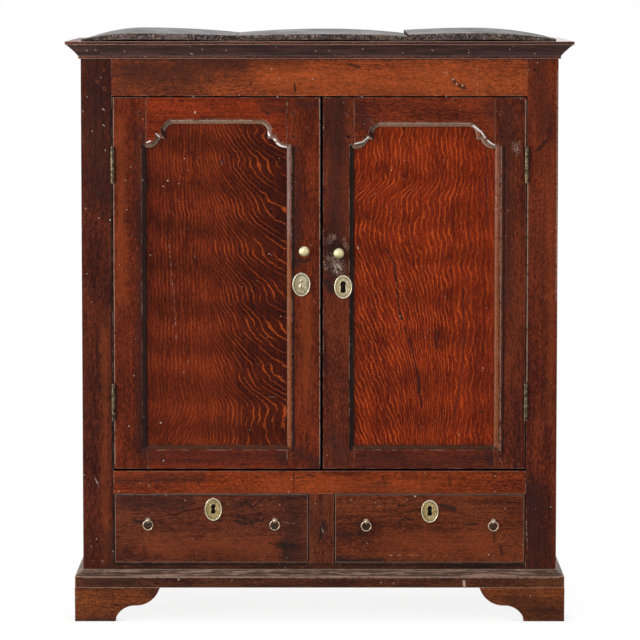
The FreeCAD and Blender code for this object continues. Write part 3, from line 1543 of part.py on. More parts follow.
def write():
    """Write each sub-part to a STEP file of its own."""
    os.makedirs("parts", exist_ok=True)
    for piece in NODES:
        piece.Shape.exportStep(f"parts/{piece.Label}.step")
        solids = piece.Shape.Solids
        volume = sum(solid.Volume for solid in solids)
        print(f"{piece.Label}: {len(solids)} solids, {volume:.0f} mm3")


carcase()
doors()
drawers()
doc.recompute()
check()
write()
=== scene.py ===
import math

import bmesh
import bpy
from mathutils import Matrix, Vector


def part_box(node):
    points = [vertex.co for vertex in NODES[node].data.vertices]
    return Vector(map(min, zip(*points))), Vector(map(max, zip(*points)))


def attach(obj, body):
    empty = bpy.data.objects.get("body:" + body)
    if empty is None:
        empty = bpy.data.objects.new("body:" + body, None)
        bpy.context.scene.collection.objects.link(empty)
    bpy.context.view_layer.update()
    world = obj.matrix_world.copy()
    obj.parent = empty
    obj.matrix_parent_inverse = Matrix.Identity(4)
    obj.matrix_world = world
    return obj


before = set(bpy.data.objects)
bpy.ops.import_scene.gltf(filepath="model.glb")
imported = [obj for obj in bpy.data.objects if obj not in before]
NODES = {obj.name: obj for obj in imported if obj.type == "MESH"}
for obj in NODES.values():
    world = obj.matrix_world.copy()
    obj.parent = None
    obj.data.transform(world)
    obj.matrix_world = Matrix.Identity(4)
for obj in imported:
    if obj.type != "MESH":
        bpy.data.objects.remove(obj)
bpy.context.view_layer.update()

# A joined oak linen press with waxed, quarter-sawn door panels and old brass fittings.
# Metres, +X to the right seen from the front, +Y from front to back, +Z up.

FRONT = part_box("left_front_post")[0].y

# ---------------- shader expressions


class Term:
    """An output of a shader node that can be used in sums and products."""

    def __init__(self, shader, socket):
        self.shader = shader
        self.socket = socket

    def __add__(self, other):
        return self.shader.math("ADD", self, other)

    def __sub__(self, other):
        return self.shader.math("SUBTRACT", self, other)

    def __rsub__(self, other):
        return self.shader.math("SUBTRACT", other, self)

    def __mul__(self, other):
        return self.shader.math("MULTIPLY", self, other)

    def __rmul__(self, other):
        return self.shader.math("MULTIPLY", other, self)

    def __truediv__(self, other):
        return self.shader.math("DIVIDE", self, other)

    def step(self, low, high):
        """A smooth step from 0 at low to 1 at high; low may be the larger."""
        if low > high:
            return 1 - self.step(high, low)
        node = self.shader.node("ShaderNodeMapRange", interpolation_type="SMOOTHSTEP")
        self.shader.link(self, node.inputs["Value"])
        node.inputs["From Min"].default_value = low
        node.inputs["From Max"].default_value = high
        return Term(self.shader, node.outputs["Result"])


class Shader:
    """A material whose node tree is written as expressions."""

    def __init__(self, name):
        self.material = bpy.data.materials.new(name)
        self.material.use_nodes = True
        self.tree = self.material.node_tree
        self.tree.nodes.clear()
        self.out = self.node("ShaderNodeOutputMaterial")
        self.surface = self.node("ShaderNodeBsdfPrincipled")
        self.tree.links.new(self.surface.outputs[0], self.out.inputs["Surface"])
        coordinates = self.node("ShaderNodeTexCoord")
        self.place = Term(self, coordinates.outputs["Object"])
        self.x, self.y, self.z = self.split(self.place)

    def node(self, kind, **settings):
        made = self.tree.nodes.new(kind)
        for name, value in settings.items():
            setattr(made, name, value)
        return made

    def link(self, value, socket):
        """Feed a term to a socket, or set the socket to a plain value."""
        if isinstance(value, Term):
            self.tree.links.new(value.socket, socket)
        elif isinstance(value, (tuple, list)) and len(value) == 3 and socket.type == "RGBA":
            socket.default_value = (*value, 1)
        else:
            socket.default_value = value

    def math(self, operation, *values):
        node = self.node("ShaderNodeMath", operation=operation)
        for socket, value in zip(node.inputs, values):
            self.link(value, socket)
        return Term(self, node.outputs[0])

    def split(self, vector):
        node = self.node("ShaderNodeSeparateXYZ")
        self.link(vector, node.inputs[0])
        return [Term(self, output) for output in node.outputs]

    def join(self, x, y, z):
        node = self.node("ShaderNodeCombineXYZ")
        for value, socket in zip((x, y, z), node.inputs):
            self.link(value, socket)
        return Term(self, node.outputs[0])

    def noise(self, vector, scale=1.0, detail=2.0, roughness=0.5, distortion=0.0):
        """Noise from 0 to 1 with its mean at a half."""
        node = self.node("ShaderNodeTexNoise")
        self.link(vector, node.inputs["Vector"])
        for name, value in (("Scale", scale), ("Detail", detail), ("Roughness", roughness),
                            ("Distortion", distortion)):
            node.inputs[name].default_value = value
        return Term(self, node.outputs[0])

    def cells(self, vector, scale):
        """The distance to the nearest of some scattered points, and a random number for it."""
        node = self.node("ShaderNodeTexVoronoi")
        self.link(vector, node.inputs["Vector"])
        node.inputs["Scale"].default_value = scale
        red = self.split(Term(self, node.outputs["Color"]))[0]
        return Term(self, node.outputs["Distance"]), red

    def mix(self, amount, first, second):
        """A colour between two."""
        node = self.node("ShaderNodeMix", data_type="RGBA")
        self.link(amount, node.inputs[0])
        self.link(first, node.inputs[6])
        self.link(second, node.inputs[7])
        return Term(self, node.outputs[2])

    def shade(self, colour, factor):
        """A colour made darker or lighter by a factor."""
        node = self.node("ShaderNodeVectorMath", operation="SCALE")
        self.link(colour, node.inputs[0])
        self.link(factor, node.inputs["Scale"])
        return Term(self, node.outputs[0])

    def curve(self, value, points):
        """A smooth curve through given points; both ways run from 0 to 1."""
        node = self.node("ShaderNodeFloatCurve")
        self.link(value, node.inputs["Value"])
        line = node.mapping.curves[0]
        line.points[0].location, line.points[1].location = points[0], points[-1]
        for point in points[1:-1]:
            line.points.new(*point)
        node.mapping.update()
        return Term(self, node.outputs[0])

    def wear(self, radius):
        """How far a point is on an arris: 0 on flat wood, about 1 on a right-angled corner."""
        bevel = self.node("ShaderNodeBevel", samples=6)
        bevel.inputs["Radius"].default_value = radius
        geometry = self.node("ShaderNodeNewGeometry")
        dot = self.node("ShaderNodeVectorMath", operation="DOT_PRODUCT")
        self.tree.links.new(bevel.outputs[0], dot.inputs[0])
        self.tree.links.new(geometry.outputs["Normal"], dot.inputs[1])
        return (1 - Term(self, dot.outputs["Value"])) * 3.4

    def vector(self, operation, *values):
        """A vector node; a plain triple stands for a fixed vector."""
        node = self.node("ShaderNodeVectorMath", operation=operation)
        for socket, value in zip(node.inputs, values):
            self.link(value, socket)
        return node

    def away_from(self, line):
        """How far a point is from a line of two or more points, seen straight on."""
        flat = self.join(self.x, 0.0, self.z)
        nearest = None
        for (x0, z0), (x1, z1) in zip(line, line[1:]):
            run = (x1 - x0, 0.0, z1 - z0)
            squared = max(run[0] ** 2 + run[2] ** 2, 1e-10)
            offset = self.vector("SUBTRACT", flat, (x0, 0.0, z0)).outputs[0]
            share = self.vector("DOT_PRODUCT", Term(self, offset),
                                tuple(part / squared for part in run))
            clamped = self.node("ShaderNodeMath", operation="ADD", use_clamp=True)
            clamped.inputs[1].default_value = 0.0
            self.tree.links.new(share.outputs["Value"], clamped.inputs[0])
            along = self.shade(run, Term(self, clamped.outputs[0]))
            apart = self.vector("DISTANCE", Term(self, offset), along)
            away = Term(self, apart.outputs["Value"])
            nearest = away if nearest is None else self.math("MINIMUM", nearest, away)
        return nearest

    def crevice(self, reach):
        """How shut in a point is, from 0 in the open to 1 in a deep corner."""
        node = self.node("ShaderNodeAmbientOcclusion", samples=6)
        node.inputs["Distance"].default_value = reach
        return 1 - Term(self, node.outputs["AO"])

    def facing(self):
        """The x, y and z of the surface's own direction, in the piece's own frame."""
        node = self.node("ShaderNodeTexCoord")
        return self.split(Term(self, node.outputs["Normal"]))

    def bump(self, height, depth):
        """Raise the surface by height times depth, in metres."""
        node = self.node("ShaderNodeBump")
        node.inputs["Strength"].default_value = 1
        node.inputs["Distance"].default_value = depth
        self.link(height, node.inputs["Height"])
        self.tree.links.new(node.outputs[0], self.surface.inputs["Normal"])

    def set(self, colour, roughness, specular=0.5, metallic=0.0, coat=0.0):
        """Set the surface's main sockets; coat is a thin clear layer of wax."""
        self.link(colour, self.surface.inputs["Base Color"])
        self.link(roughness, self.surface.inputs["Roughness"])
        self.surface.inputs["Specular IOR Level"].default_value = specular
        self.surface.inputs["Metallic"].default_value = metallic
        self.surface.inputs["Coat Weight"].default_value = coat
        self.surface.inputs["Coat Roughness"].default_value = 0.16


# ---------------- places on the front

VIEW_HEIGHT = 0.6318
VIEW_SIDE = 0.0008
VIEW_DISTANCE = 8.0
VIEW_TILT = math.radians(5.15)
PIXELS_PER_METRE = 480
UPRIGHT_PIXELS_PER_METRE = 477.5
PICTURE_WIDTH = 640
PICTURE_MIDDLE = 318.6


def spot(across, down):
    """The x and z of a place on the front of the press, from its place in the picture."""
    return (VIEW_SIDE + (across - PICTURE_WIDTH / 2) / PIXELS_PER_METRE,
            VIEW_HEIGHT + (PICTURE_MIDDLE - down) / UPRIGHT_PIXELS_PER_METRE)


# A mark's kind gives its colour, its strength, how soft its edge is, how ragged and how broken;
# above 1, broken scatters it as fine dust.
KINDS = {
    "stain": ((0.012, 0.008, 0.007), 0.80, 1.0, 1.3, 0.0),
    "crack": ((0.012, 0.007, 0.006), 0.90, 0.6, 0.6, 0.55),
    # Painted shade: black lines in the gaps between parts and in the grooves beside the mouldings.
    "quirk": ((0.007, 0.005, 0.004), 0.88, 0.7, 0.25, 0.5),
    "scratch": ((0.38, 0.26, 0.20), 0.50, 0.8, 0.5, 0.85),
    "speck": ((0.62, 0.48, 0.38), 0.70, 0.8, 0.4, 0.0),
    # Soft darker patches; beside some of the sight mouldings they are painted shadow.
    "shade": ((0.020, 0.008, 0.007), 0.55, 1.0, 0.9, 0.0),
    "glow": ((0.27, 0.056, 0.014), 0.26, 1.0, 1.6, 0.0),
    "fleck": ((0.50, 0.41, 0.34), 0.60, 0.9, 0.4, 0.0),
    "scuff": ((0.36, 0.25, 0.19), 0.70, 1.0, 1.0, 2.0),
    "patch": ((0.22, 0.17, 0.15), 0.70, 0.7, 1.5, 0.6),
    "verdigris": ((0.036, 0.034, 0.022), 0.85, 0.8, 0.7, 0.0),
    # Painted highlights on the arched heads of the sight mouldings.
    "light": ((0.66, 0.62, 0.58), 0.88, 0.7, 0.4, 0.35),
    "edge": ((0.38, 0.27, 0.20), 0.55, 0.8, 0.12, 0.65),
}


def add_marks(wood, colour, marks):
    """Paint marks on the faces that look to the front, as MARKS gives them."""
    if not marks:
        return colour
    ragged = wood.noise(wood.place, scale=75, detail=4, roughness=0.7) - 0.5
    gaps = wood.noise(wood.place + 3.1, scale=170, detail=2, roughness=0.7)
    dust = wood.noise(wood.place, scale=430, detail=2, roughness=0.7)
    front = wood.facing()[1].step(-0.05, -0.30)
    for kind, *strokes in marks:
        tint, strength, soft, rough, broken = KINDS[kind]
        for half_width, *points in strokes:
            size = half_width / PIXELS_PER_METRE
            line = [spot(*point) for point in points]
            if len(line) == 1:
                line.append((line[0][0] + 1e-4, line[0][1]))
            away = wood.away_from(line) + ragged * (rough * (size + 0.0006) * 2)
            amount = away.step(size * (1 + soft * 0.5), size * (1 - soft)) * strength * front
            if broken > 1:
                amount = amount * dust.step(0.46, 0.62)
            elif broken:
                amount = amount * gaps.step(broken * 0.5, broken * 0.5 + 0.2)
            colour = wood.mix(amount, colour, tint)
    return colour


# ---------------- wood

PALE_ARRIS = (0.36, 0.245, 0.185)
# The colour of dirt and painted shade in the inner corners.
GRIME_AND_SHADE = (0.010, 0.006, 0.005)
FLECK = (0.70, 0.60, 0.50)

TONES = {
    "left post": (0.056, 0.0108, 0.0052),
    "right post": (0.096, 0.0165, 0.0066),
    "side": (0.062, 0.0120, 0.0056),
    "frieze": (0.176, 0.0345, 0.0105),
    "middle rail": (0.150, 0.0235, 0.0060),
    "bottom rail": (0.041, 0.0122, 0.0062),
    "divider": (0.080, 0.0185, 0.0085),
    "left stile": (0.086, 0.0125, 0.0040),
    "right stile": (0.078, 0.0138, 0.0056),
    "left rails": (0.118, 0.0148, 0.0040),
    "right rails": (0.106, 0.0160, 0.0056),
    "left panel": (0.070, 0.0086, 0.0028),
    "right panel": (0.124, 0.0124, 0.0030),
    "left drawer": (0.069, 0.0162, 0.0082),
    "right drawer": (0.090, 0.0192, 0.0075),
    "cornice": (0.070, 0.0225, 0.0165),
    "base": (0.060, 0.0180, 0.0088),
    "foot": (0.108, 0.0270, 0.0090),
    "top": (0.100, 0.0680, 0.0590),
    "inside": (0.220, 0.1300, 0.0680),
}
STREAK = {
    "left panel": (0.28, 0.046, 0.0070),
    "right panel": (0.48, 0.074, 0.0105),
}


def grained(shader, along, stretch, across, offset):
    """The place, squeezed across the grain and drawn out along it."""
    axes = [across * part for part in (shader.x, shader.y, shader.z)]
    for letter in along:
        index = "xyz".index(letter)
        axes[index] = (shader.x, shader.y, shader.z)[index] * stretch
    return shader.join(axes[0] + offset, axes[1] + offset * 0.7, axes[2] + offset * 1.3)


def oak(name, along, tone, seed=0, marks=(), contrast=1.0, flecks=1.0, arris=1.0, gloss=0.42,
        specular=0.04, coat=0.04, figure=None, shaped=None, grime_and_shade=0.85, rim=0.0026):
    """Old waxed oak. The grain runs along the axes named in along.

    marks are stains, scratches, painted highlights and painted shade, figure adds the ray fleck,
    and shaped tints the faces that aren't flat, some of them with painted light and shade. arris is
    how worn the outer corners are, 2 being pale nearly all the way, and rim how far in the wear
    reaches. grime is how dark the inner corners are, from dirt and painted shade.
    """
    wood = Shader(name)
    mean = TONES[tone]
    dark = (mean[0] * 0.36, mean[1] * 0.34, mean[2] * 0.55)
    light = (mean[0] * 1.72, mean[1] * 1.78, mean[2] * 1.45)
    broad = wood.noise(grained(wood, along, 1.6, 21, seed), detail=3, distortion=0.4)
    streaks = wood.noise(grained(wood, along, 9, 150, seed + 3), detail=3, roughness=0.6)
    grain = wood.noise(grained(wood, along, 95, 430, seed + 7), detail=2, roughness=0.6)
    pores = wood.noise(grained(wood, along, 110, 520, seed + 5), detail=1, roughness=0.7)
    speckle = wood.noise(wood.place, scale=430, detail=1)
    patches = wood.noise(wood.place + seed, scale=11, detail=4, roughness=0.62)
    level = ((broad - 0.5) * 0.8 + (streaks - 0.5) * 0.8 + (grain - 0.5) * 1.3
             + (patches - 0.5) * 0.9)
    colour = wood.mix((level * contrast).step(-0.42, 0.42), dark, light)
    height = pores * 0.5 + grain * 0.3
    if figure:
        lines, ground = figure(wood)
        colour = wood.mix(lines, wood.shade(colour, ground), STREAK[tone])
        height = height + lines * 0.15
    colour = wood.mix(pores.step(0.40, 0.27) * 0.55, colour, dark)
    colour = wood.shade(colour, speckle * 2.0 + 0.02)
    if shaped:
        colour = shaped(wood, colour)
    colour = add_marks(wood, colour, marks)
    # Dirt and painted shade darken the inner corners.
    if grime_and_shade:
        corner = wood.crevice(0.007).step(0.12, 0.62) * grime_and_shade
        colour = wood.mix(corner, colour, GRIME_AND_SHADE)
    if arris:
        rub = wood.noise(wood.place + seed, scale=60, detail=3, roughness=0.7)
        kept = rub.step(0.60 - 0.16 * arris, 0.74 - 0.16 * arris)
        worn = wood.wear(rim).step(0.06, 0.42) * kept * min(0.55 * arris, 0.9)
        colour = wood.mix(worn, colour, PALE_ARRIS)
    slanted = wood.join(wood.x * 1.4 + wood.z * 0.9, wood.y, wood.z * 0.45 - wood.x * 0.2)
    for place, scale, size, share in ((wood.place, 120, 0.16, 0.040), (wood.place, 62, 0.10, 0.045),
                                      (slanted, 90, 0.13, 0.045)):
        nearness, chance = wood.cells(place, scale)
        dot = nearness.step(size, size * 0.4) * chance.step(1 - share, 1 - share * 0.6)
        colour = wood.mix(dot * min(0.55 * flecks, 0.85), colour, FLECK)
    wood.set(colour, patches * 0.16 + grain * 0.12 + (gloss - 0.12), specular=specular, coat=coat)
    wood.bump(height, 0.00035)
    return wood.material


# Colours of the painted shadow, highlight, reflection and shade on the sight mouldings.
MOULDING_SHADOW = (0.012, 0.007, 0.006)
MOULDING_ROSY_HIGHLIGHT = (0.22, 0.068, 0.024)
MOULDING_HEAD_REFLECTION = (0.13, 0.085, 0.055)
MOULDING_HEAD_EDGE_REFLECTION = (0.24, 0.165, 0.115)
MOULDING_FOOT_SHADE = (0.050, 0.022, 0.011)


def sight_mouldings(pale, warm):
    """A tint for the moulding round a panel, most of it painted light and shade.

    It's painted shadow where it looks right, and a painted highlight, partly wear, where it looks
    left, rosier below the height warm. Where it looks down it's a pale painted reflection of the
    floor, paler where it looks more steeply down, and where it looks up it's painted shade.
    """
    def shaped(wood, colour):
        across, depth, up = wood.facing()
        sloping = depth.step(-0.08, -0.30)
        rough = wood.noise(wood.place, scale=210, detail=3, roughness=0.7).step(0.30, 0.62)
        # Painted shadow where the moulding looks right.
        colour = wood.mix(sloping * across.step(0.05, 0.14) * 0.88, colour, MOULDING_SHADOW)
        # A painted highlight, partly wear, where it looks left, rosier low down.
        lower = wood.z.step(warm + 0.03, warm - 0.03)
        rosy_highlight = wood.mix(lower, pale, MOULDING_ROSY_HIGHLIGHT)
        highlight_strip = sloping * across.step(-0.05, -0.14)
        colour = wood.mix(highlight_strip * (rough * 0.60 + 0.25), colour, rosy_highlight)
        # A painted reflection of the floor where it looks down.
        steep = depth.step(-0.93, -0.80)
        head = wood.mix(steep, MOULDING_HEAD_REFLECTION, MOULDING_HEAD_EDGE_REFLECTION)
        colour = wood.mix(sloping * up.step(-0.05, -0.14) * (rough * 0.5 + 0.35), colour, head)
        # Painted shade where it looks up.
        return wood.mix(sloping * up.step(0.05, 0.14) * 0.75, colour, MOULDING_FOOT_SHADE)
    return shaped


def dusty_top(tint, amount):
    """A tint for the faces that look up, where dust and scuffs lie."""
    def shaped(wood, colour):
        scuffs = wood.noise(grained(wood, "xy", 16, 260, 5), detail=4, roughness=0.75)
        up = wood.facing()[2].step(0.15, 0.5)
        colour = wood.mix(up * amount, colour, wood.shade(tint, 0.38))
        return wood.mix(up * scuffs.step(0.48, 0.60) * amount, colour, wood.shade(tint, 1.55))
    return shaped


SPLAY_DARK = (0.024, 0.0150, 0.0130)
SPLAY_PALE = (0.060, 0.029, 0.024)


def dark_splay(wood, colour):
    """The cornice's sloping face, nearly black and scuffed."""
    up = wood.facing()[2]
    smear = wood.noise(grained(wood, "xy", 12, 120, 4), detail=4, roughness=0.7)
    tint = wood.mix(smear.step(0.40, 0.66), SPLAY_DARK, SPLAY_PALE)
    return wood.mix(up.step(-0.10, -0.25) * 0.9, colour, tint)


BOARD_DARK = (0.026, 0.018, 0.016)
BOARD_SCRATCH = (0.46, 0.39, 0.35)
# The greys of the painted sheen on the tops.
BOARD_SHEEN_GREYS = ((0.20, 0.195, 0.19), (0.32, 0.315, 0.31))
BOARD_GREY_SCRATCH = (0.055, 0.050, 0.047)


def old_top(wood, colour):
    """The weathered top boards: a painted grey sheen above, standing for the reflection of the
    room, scratched and nearly black at the front.
    """
    depth, up = wood.facing()[1:]
    scratches = wood.noise(wood.place, scale=240, detail=4, roughness=0.85, distortion=0.8)
    tufts = wood.noise(wood.place, scale=42, detail=4, roughness=0.7)
    face = depth.step(-0.3, -0.8)
    colour = wood.mix(face * tufts.step(0.40, 0.56) * 0.8, colour, BOARD_DARK)
    colour = wood.mix(face * scratches.step(0.52, 0.62) * 0.85, colour, BOARD_SCRATCH)
    # A painted sheen, grey and cloudy, on the faces that look up, with dark scratches in it.
    cloud = wood.noise(wood.join(wood.x * 14, wood.y * 3, 0), detail=4, roughness=0.6)
    grey = wood.mix(cloud.step(0.3, 0.7), *BOARD_SHEEN_GREYS)
    grey = wood.mix(scratches.step(0.50, 0.64) * 0.5, grey, BOARD_GREY_SCRATCH)
    return wood.mix(up.step(0.35, 0.8), colour, grey)


PANEL_RIBBON = 0.085


def panel_field(wood, node, seed, drift_rise, shiver_rise):
    """The share across a panel, the length down it, and a slow and a quick unevenness."""
    low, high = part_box(node)
    across = (wood.x - low.x) / (high.x - low.x)
    down = high.z - wood.z
    drift = wood.noise(wood.join(wood.x * 6, seed, wood.z * drift_rise), detail=2) - 0.5
    shiver = wood.noise(wood.join(wood.x * 60, seed, wood.z * shiver_rise), detail=2) - 0.5
    return across, down, drift, shiver


def left_figure(wood):
    """Ray fleck that runs down the panel on its left and fans out to the right."""
    across, down, drift, shiver = panel_field(wood, "left_door_panel", 0, 12, 50)
    turn = down * (2 * math.pi / PANEL_RIBBON) - across * 1.5 + drift * 6
    stepped = down - wood.math("SINE", turn) * (0.085 * PANEL_RIBBON)
    lean = down.step(0.56, 0.66)
    slanted = (down - 0.61) * lean * 60
    straight = across * 45 - stepped * across * 15 + slanted
    fanned = (across * 72 - across * across * 32) - stepped * 58 + slanted
    fan = across.step(0.30, 0.56)
    wander = drift * 3.0 + shiver * 0.9
    ribbon = wood.math("COSINE", turn) * 0.5 + 0.5
    left = ray_lines(wood, straight + wander, 34, 0.30, across.step(0.02, 0.3) * 0.20 + 0.26)
    right = ray_lines(wood, fanned + wander, 22, 0.15, 1.0)
    lines = (left * (1 - fan) + right * fan) * (ribbon * 0.55 + 0.5)
    ground = (1 - across.step(0.45, 0.90) * 0.36) * (ribbon * 0.40 + 0.80)
    return lines, ground


def right_figure(wood):
    """Ray fleck that runs down the panel, with a sharp bend near its top."""
    across, down, drift, shiver = panel_field(wood, "right_door_panel", 7, 9, 46)
    turn = down * (2 * math.pi / PANEL_RIBBON) + drift * 6 + 1.5
    stepped = down - wood.math("SINE", turn) * (0.08 * PANEL_RIBBON)
    bend = down.step(0.115, 0.165) * across.step(1.0, 0.2)
    fan = down.step(0.20, 0.30) * across.step(0.72, 0.30)
    phase = (across * 34 + bend * 4.5 - (stepped - 0.25) * fan * 40
             - wood.math("SINE", turn) * 0.25 + drift * 3.0 + shiver * 1.5)
    ribbon = wood.math("COSINE", turn) * 0.5 + 0.5
    lines = ray_lines(wood, phase, 30, 0.17, across.step(0.97, 0.6) * 0.45 + 0.35)
    return lines * (ribbon * 0.4 + 0.62), ribbon * 0.25 + 0.88


def ray_lines(wood, phase, breaks, width, strength):
    """Bright flecks where the phase is whole; each line breaks and swells in its own places."""
    line = wood.math("FLOOR", phase)
    away = wood.math("ABSOLUTE", phase - line - 0.5) * 2
    own = wood.noise(wood.join(line * 3.7, wood.z * breaks, line * 1.3), detail=1)
    chips = wood.noise(wood.place, scale=300, detail=1).step(0.28, 0.55)
    span = own.step(0.30, 0.68) * width * 1.6 + width * 0.3
    return (span - away).step(-0.10, 0.14) * own.step(0.30, 0.46) * (chips * 0.6 + 0.4) * strength


# ---------------- metal

# The colour of patina and painted shade in the hollows of the metal.
METAL_GRIME_AND_SHADE = (0.026, 0.020, 0.011)


def dimmed(colour, factor):
    """A colour's three parts, each times a factor."""
    return tuple(part * factor for part in colour)


def brass(name, tint=(0.44, 0.32, 0.135), dull=(0.24, 0.165, 0.060), bright=(0.90, 0.82, 0.66),
          rough=0.26, specks=0.5, oval=None):
    """Old brass, brown with patina and painted shade in its hollows and rubbed pale where it's
    touched. Faces that look up are painted paler and faces that look down darker, as painted
    light and shade.

    oval is the node of an oval plate, whose rim is rubbed pale beside a dirty groove.
    """
    metal = Shader(name)
    clouds = metal.noise(metal.place, scale=170, detail=3, roughness=0.6)
    dots = metal.noise(metal.place, scale=640, detail=2)
    up = metal.facing()[2]
    colour = metal.mix(clouds.step(0.36, 0.62), dull, tint)
    colour = metal.mix(dots.step(0.54, 0.70) * specks, colour, dimmed(dull, 0.3))
    # Painted light: faces that look up are paler, and faces that look down darker, as painted
    # shade.
    colour = metal.mix(up.step(0.12, 0.70) * 0.65, colour, bright)
    colour = metal.mix(up.step(-0.12, -0.80) * 0.65, colour, dimmed(dull, 0.4))
    if oval:
        low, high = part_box(oval)
        reach = metal.join((metal.x - (low.x + high.x) / 2) / ((high.x - low.x) / 2), 0.0,
                           (metal.z - (low.z + high.z) / 2) / ((high.z - low.z) / 2))
        out = Term(metal, metal.vector("LENGTH", reach).outputs["Value"])
        side = (metal.x - low.x) / (high.x - low.x)
        colour = metal.mix(side.step(0.60, 0.15) * clouds.step(0.34, 0.56) * 0.5, colour,
                           (dull[0] * 0.8, dull[1] * 0.8, dull[2] * 0.5))
        groove = out.step(0.70, 0.79) * out.step(0.90, 0.82)
        colour = metal.mix(groove * (clouds * 0.7 + 0.15), colour, dimmed(dull, 0.3))
        colour = metal.mix(out.step(0.86, 0.93) * (clouds * 0.5 + 0.05), colour, bright)
    colour = metal.mix(metal.wear(0.0008).step(0.10, 0.60) * 0.75, colour, bright)
    # Patina and painted shade in the hollows.
    colour = metal.mix(metal.crevice(0.0030).step(0.24, 0.75) * 0.93, colour, METAL_GRIME_AND_SHADE)
    metal.set(colour, clouds * 0.2 + (rough - 0.1), metallic=0.9)
    metal.bump(clouds * 0.6 + dots * 0.2, 0.00025)
    return metal.material


def iron(name):
    """Forged iron, brown-black and pitted."""
    metal = Shader(name)
    rust = metal.noise(metal.place, scale=220, detail=4, roughness=0.7)
    colour = metal.mix(rust.step(0.42, 0.66), (0.013, 0.011, 0.010), (0.050, 0.028, 0.017))
    metal.set(colour, rust * 0.3 + 0.36, specular=0.2, metallic=0.3)
    metal.bump(rust, 0.0006)
    return metal.material


# ---------------- finishes of the CAD nodes

def nicks(fall, *each):
    """Small pale nicks, each given by its size, its place and how far it leans."""
    return ("fleck", *((size * 0.7, (x, y), (x + lean, y + fall)) for size, x, y, lean in each))
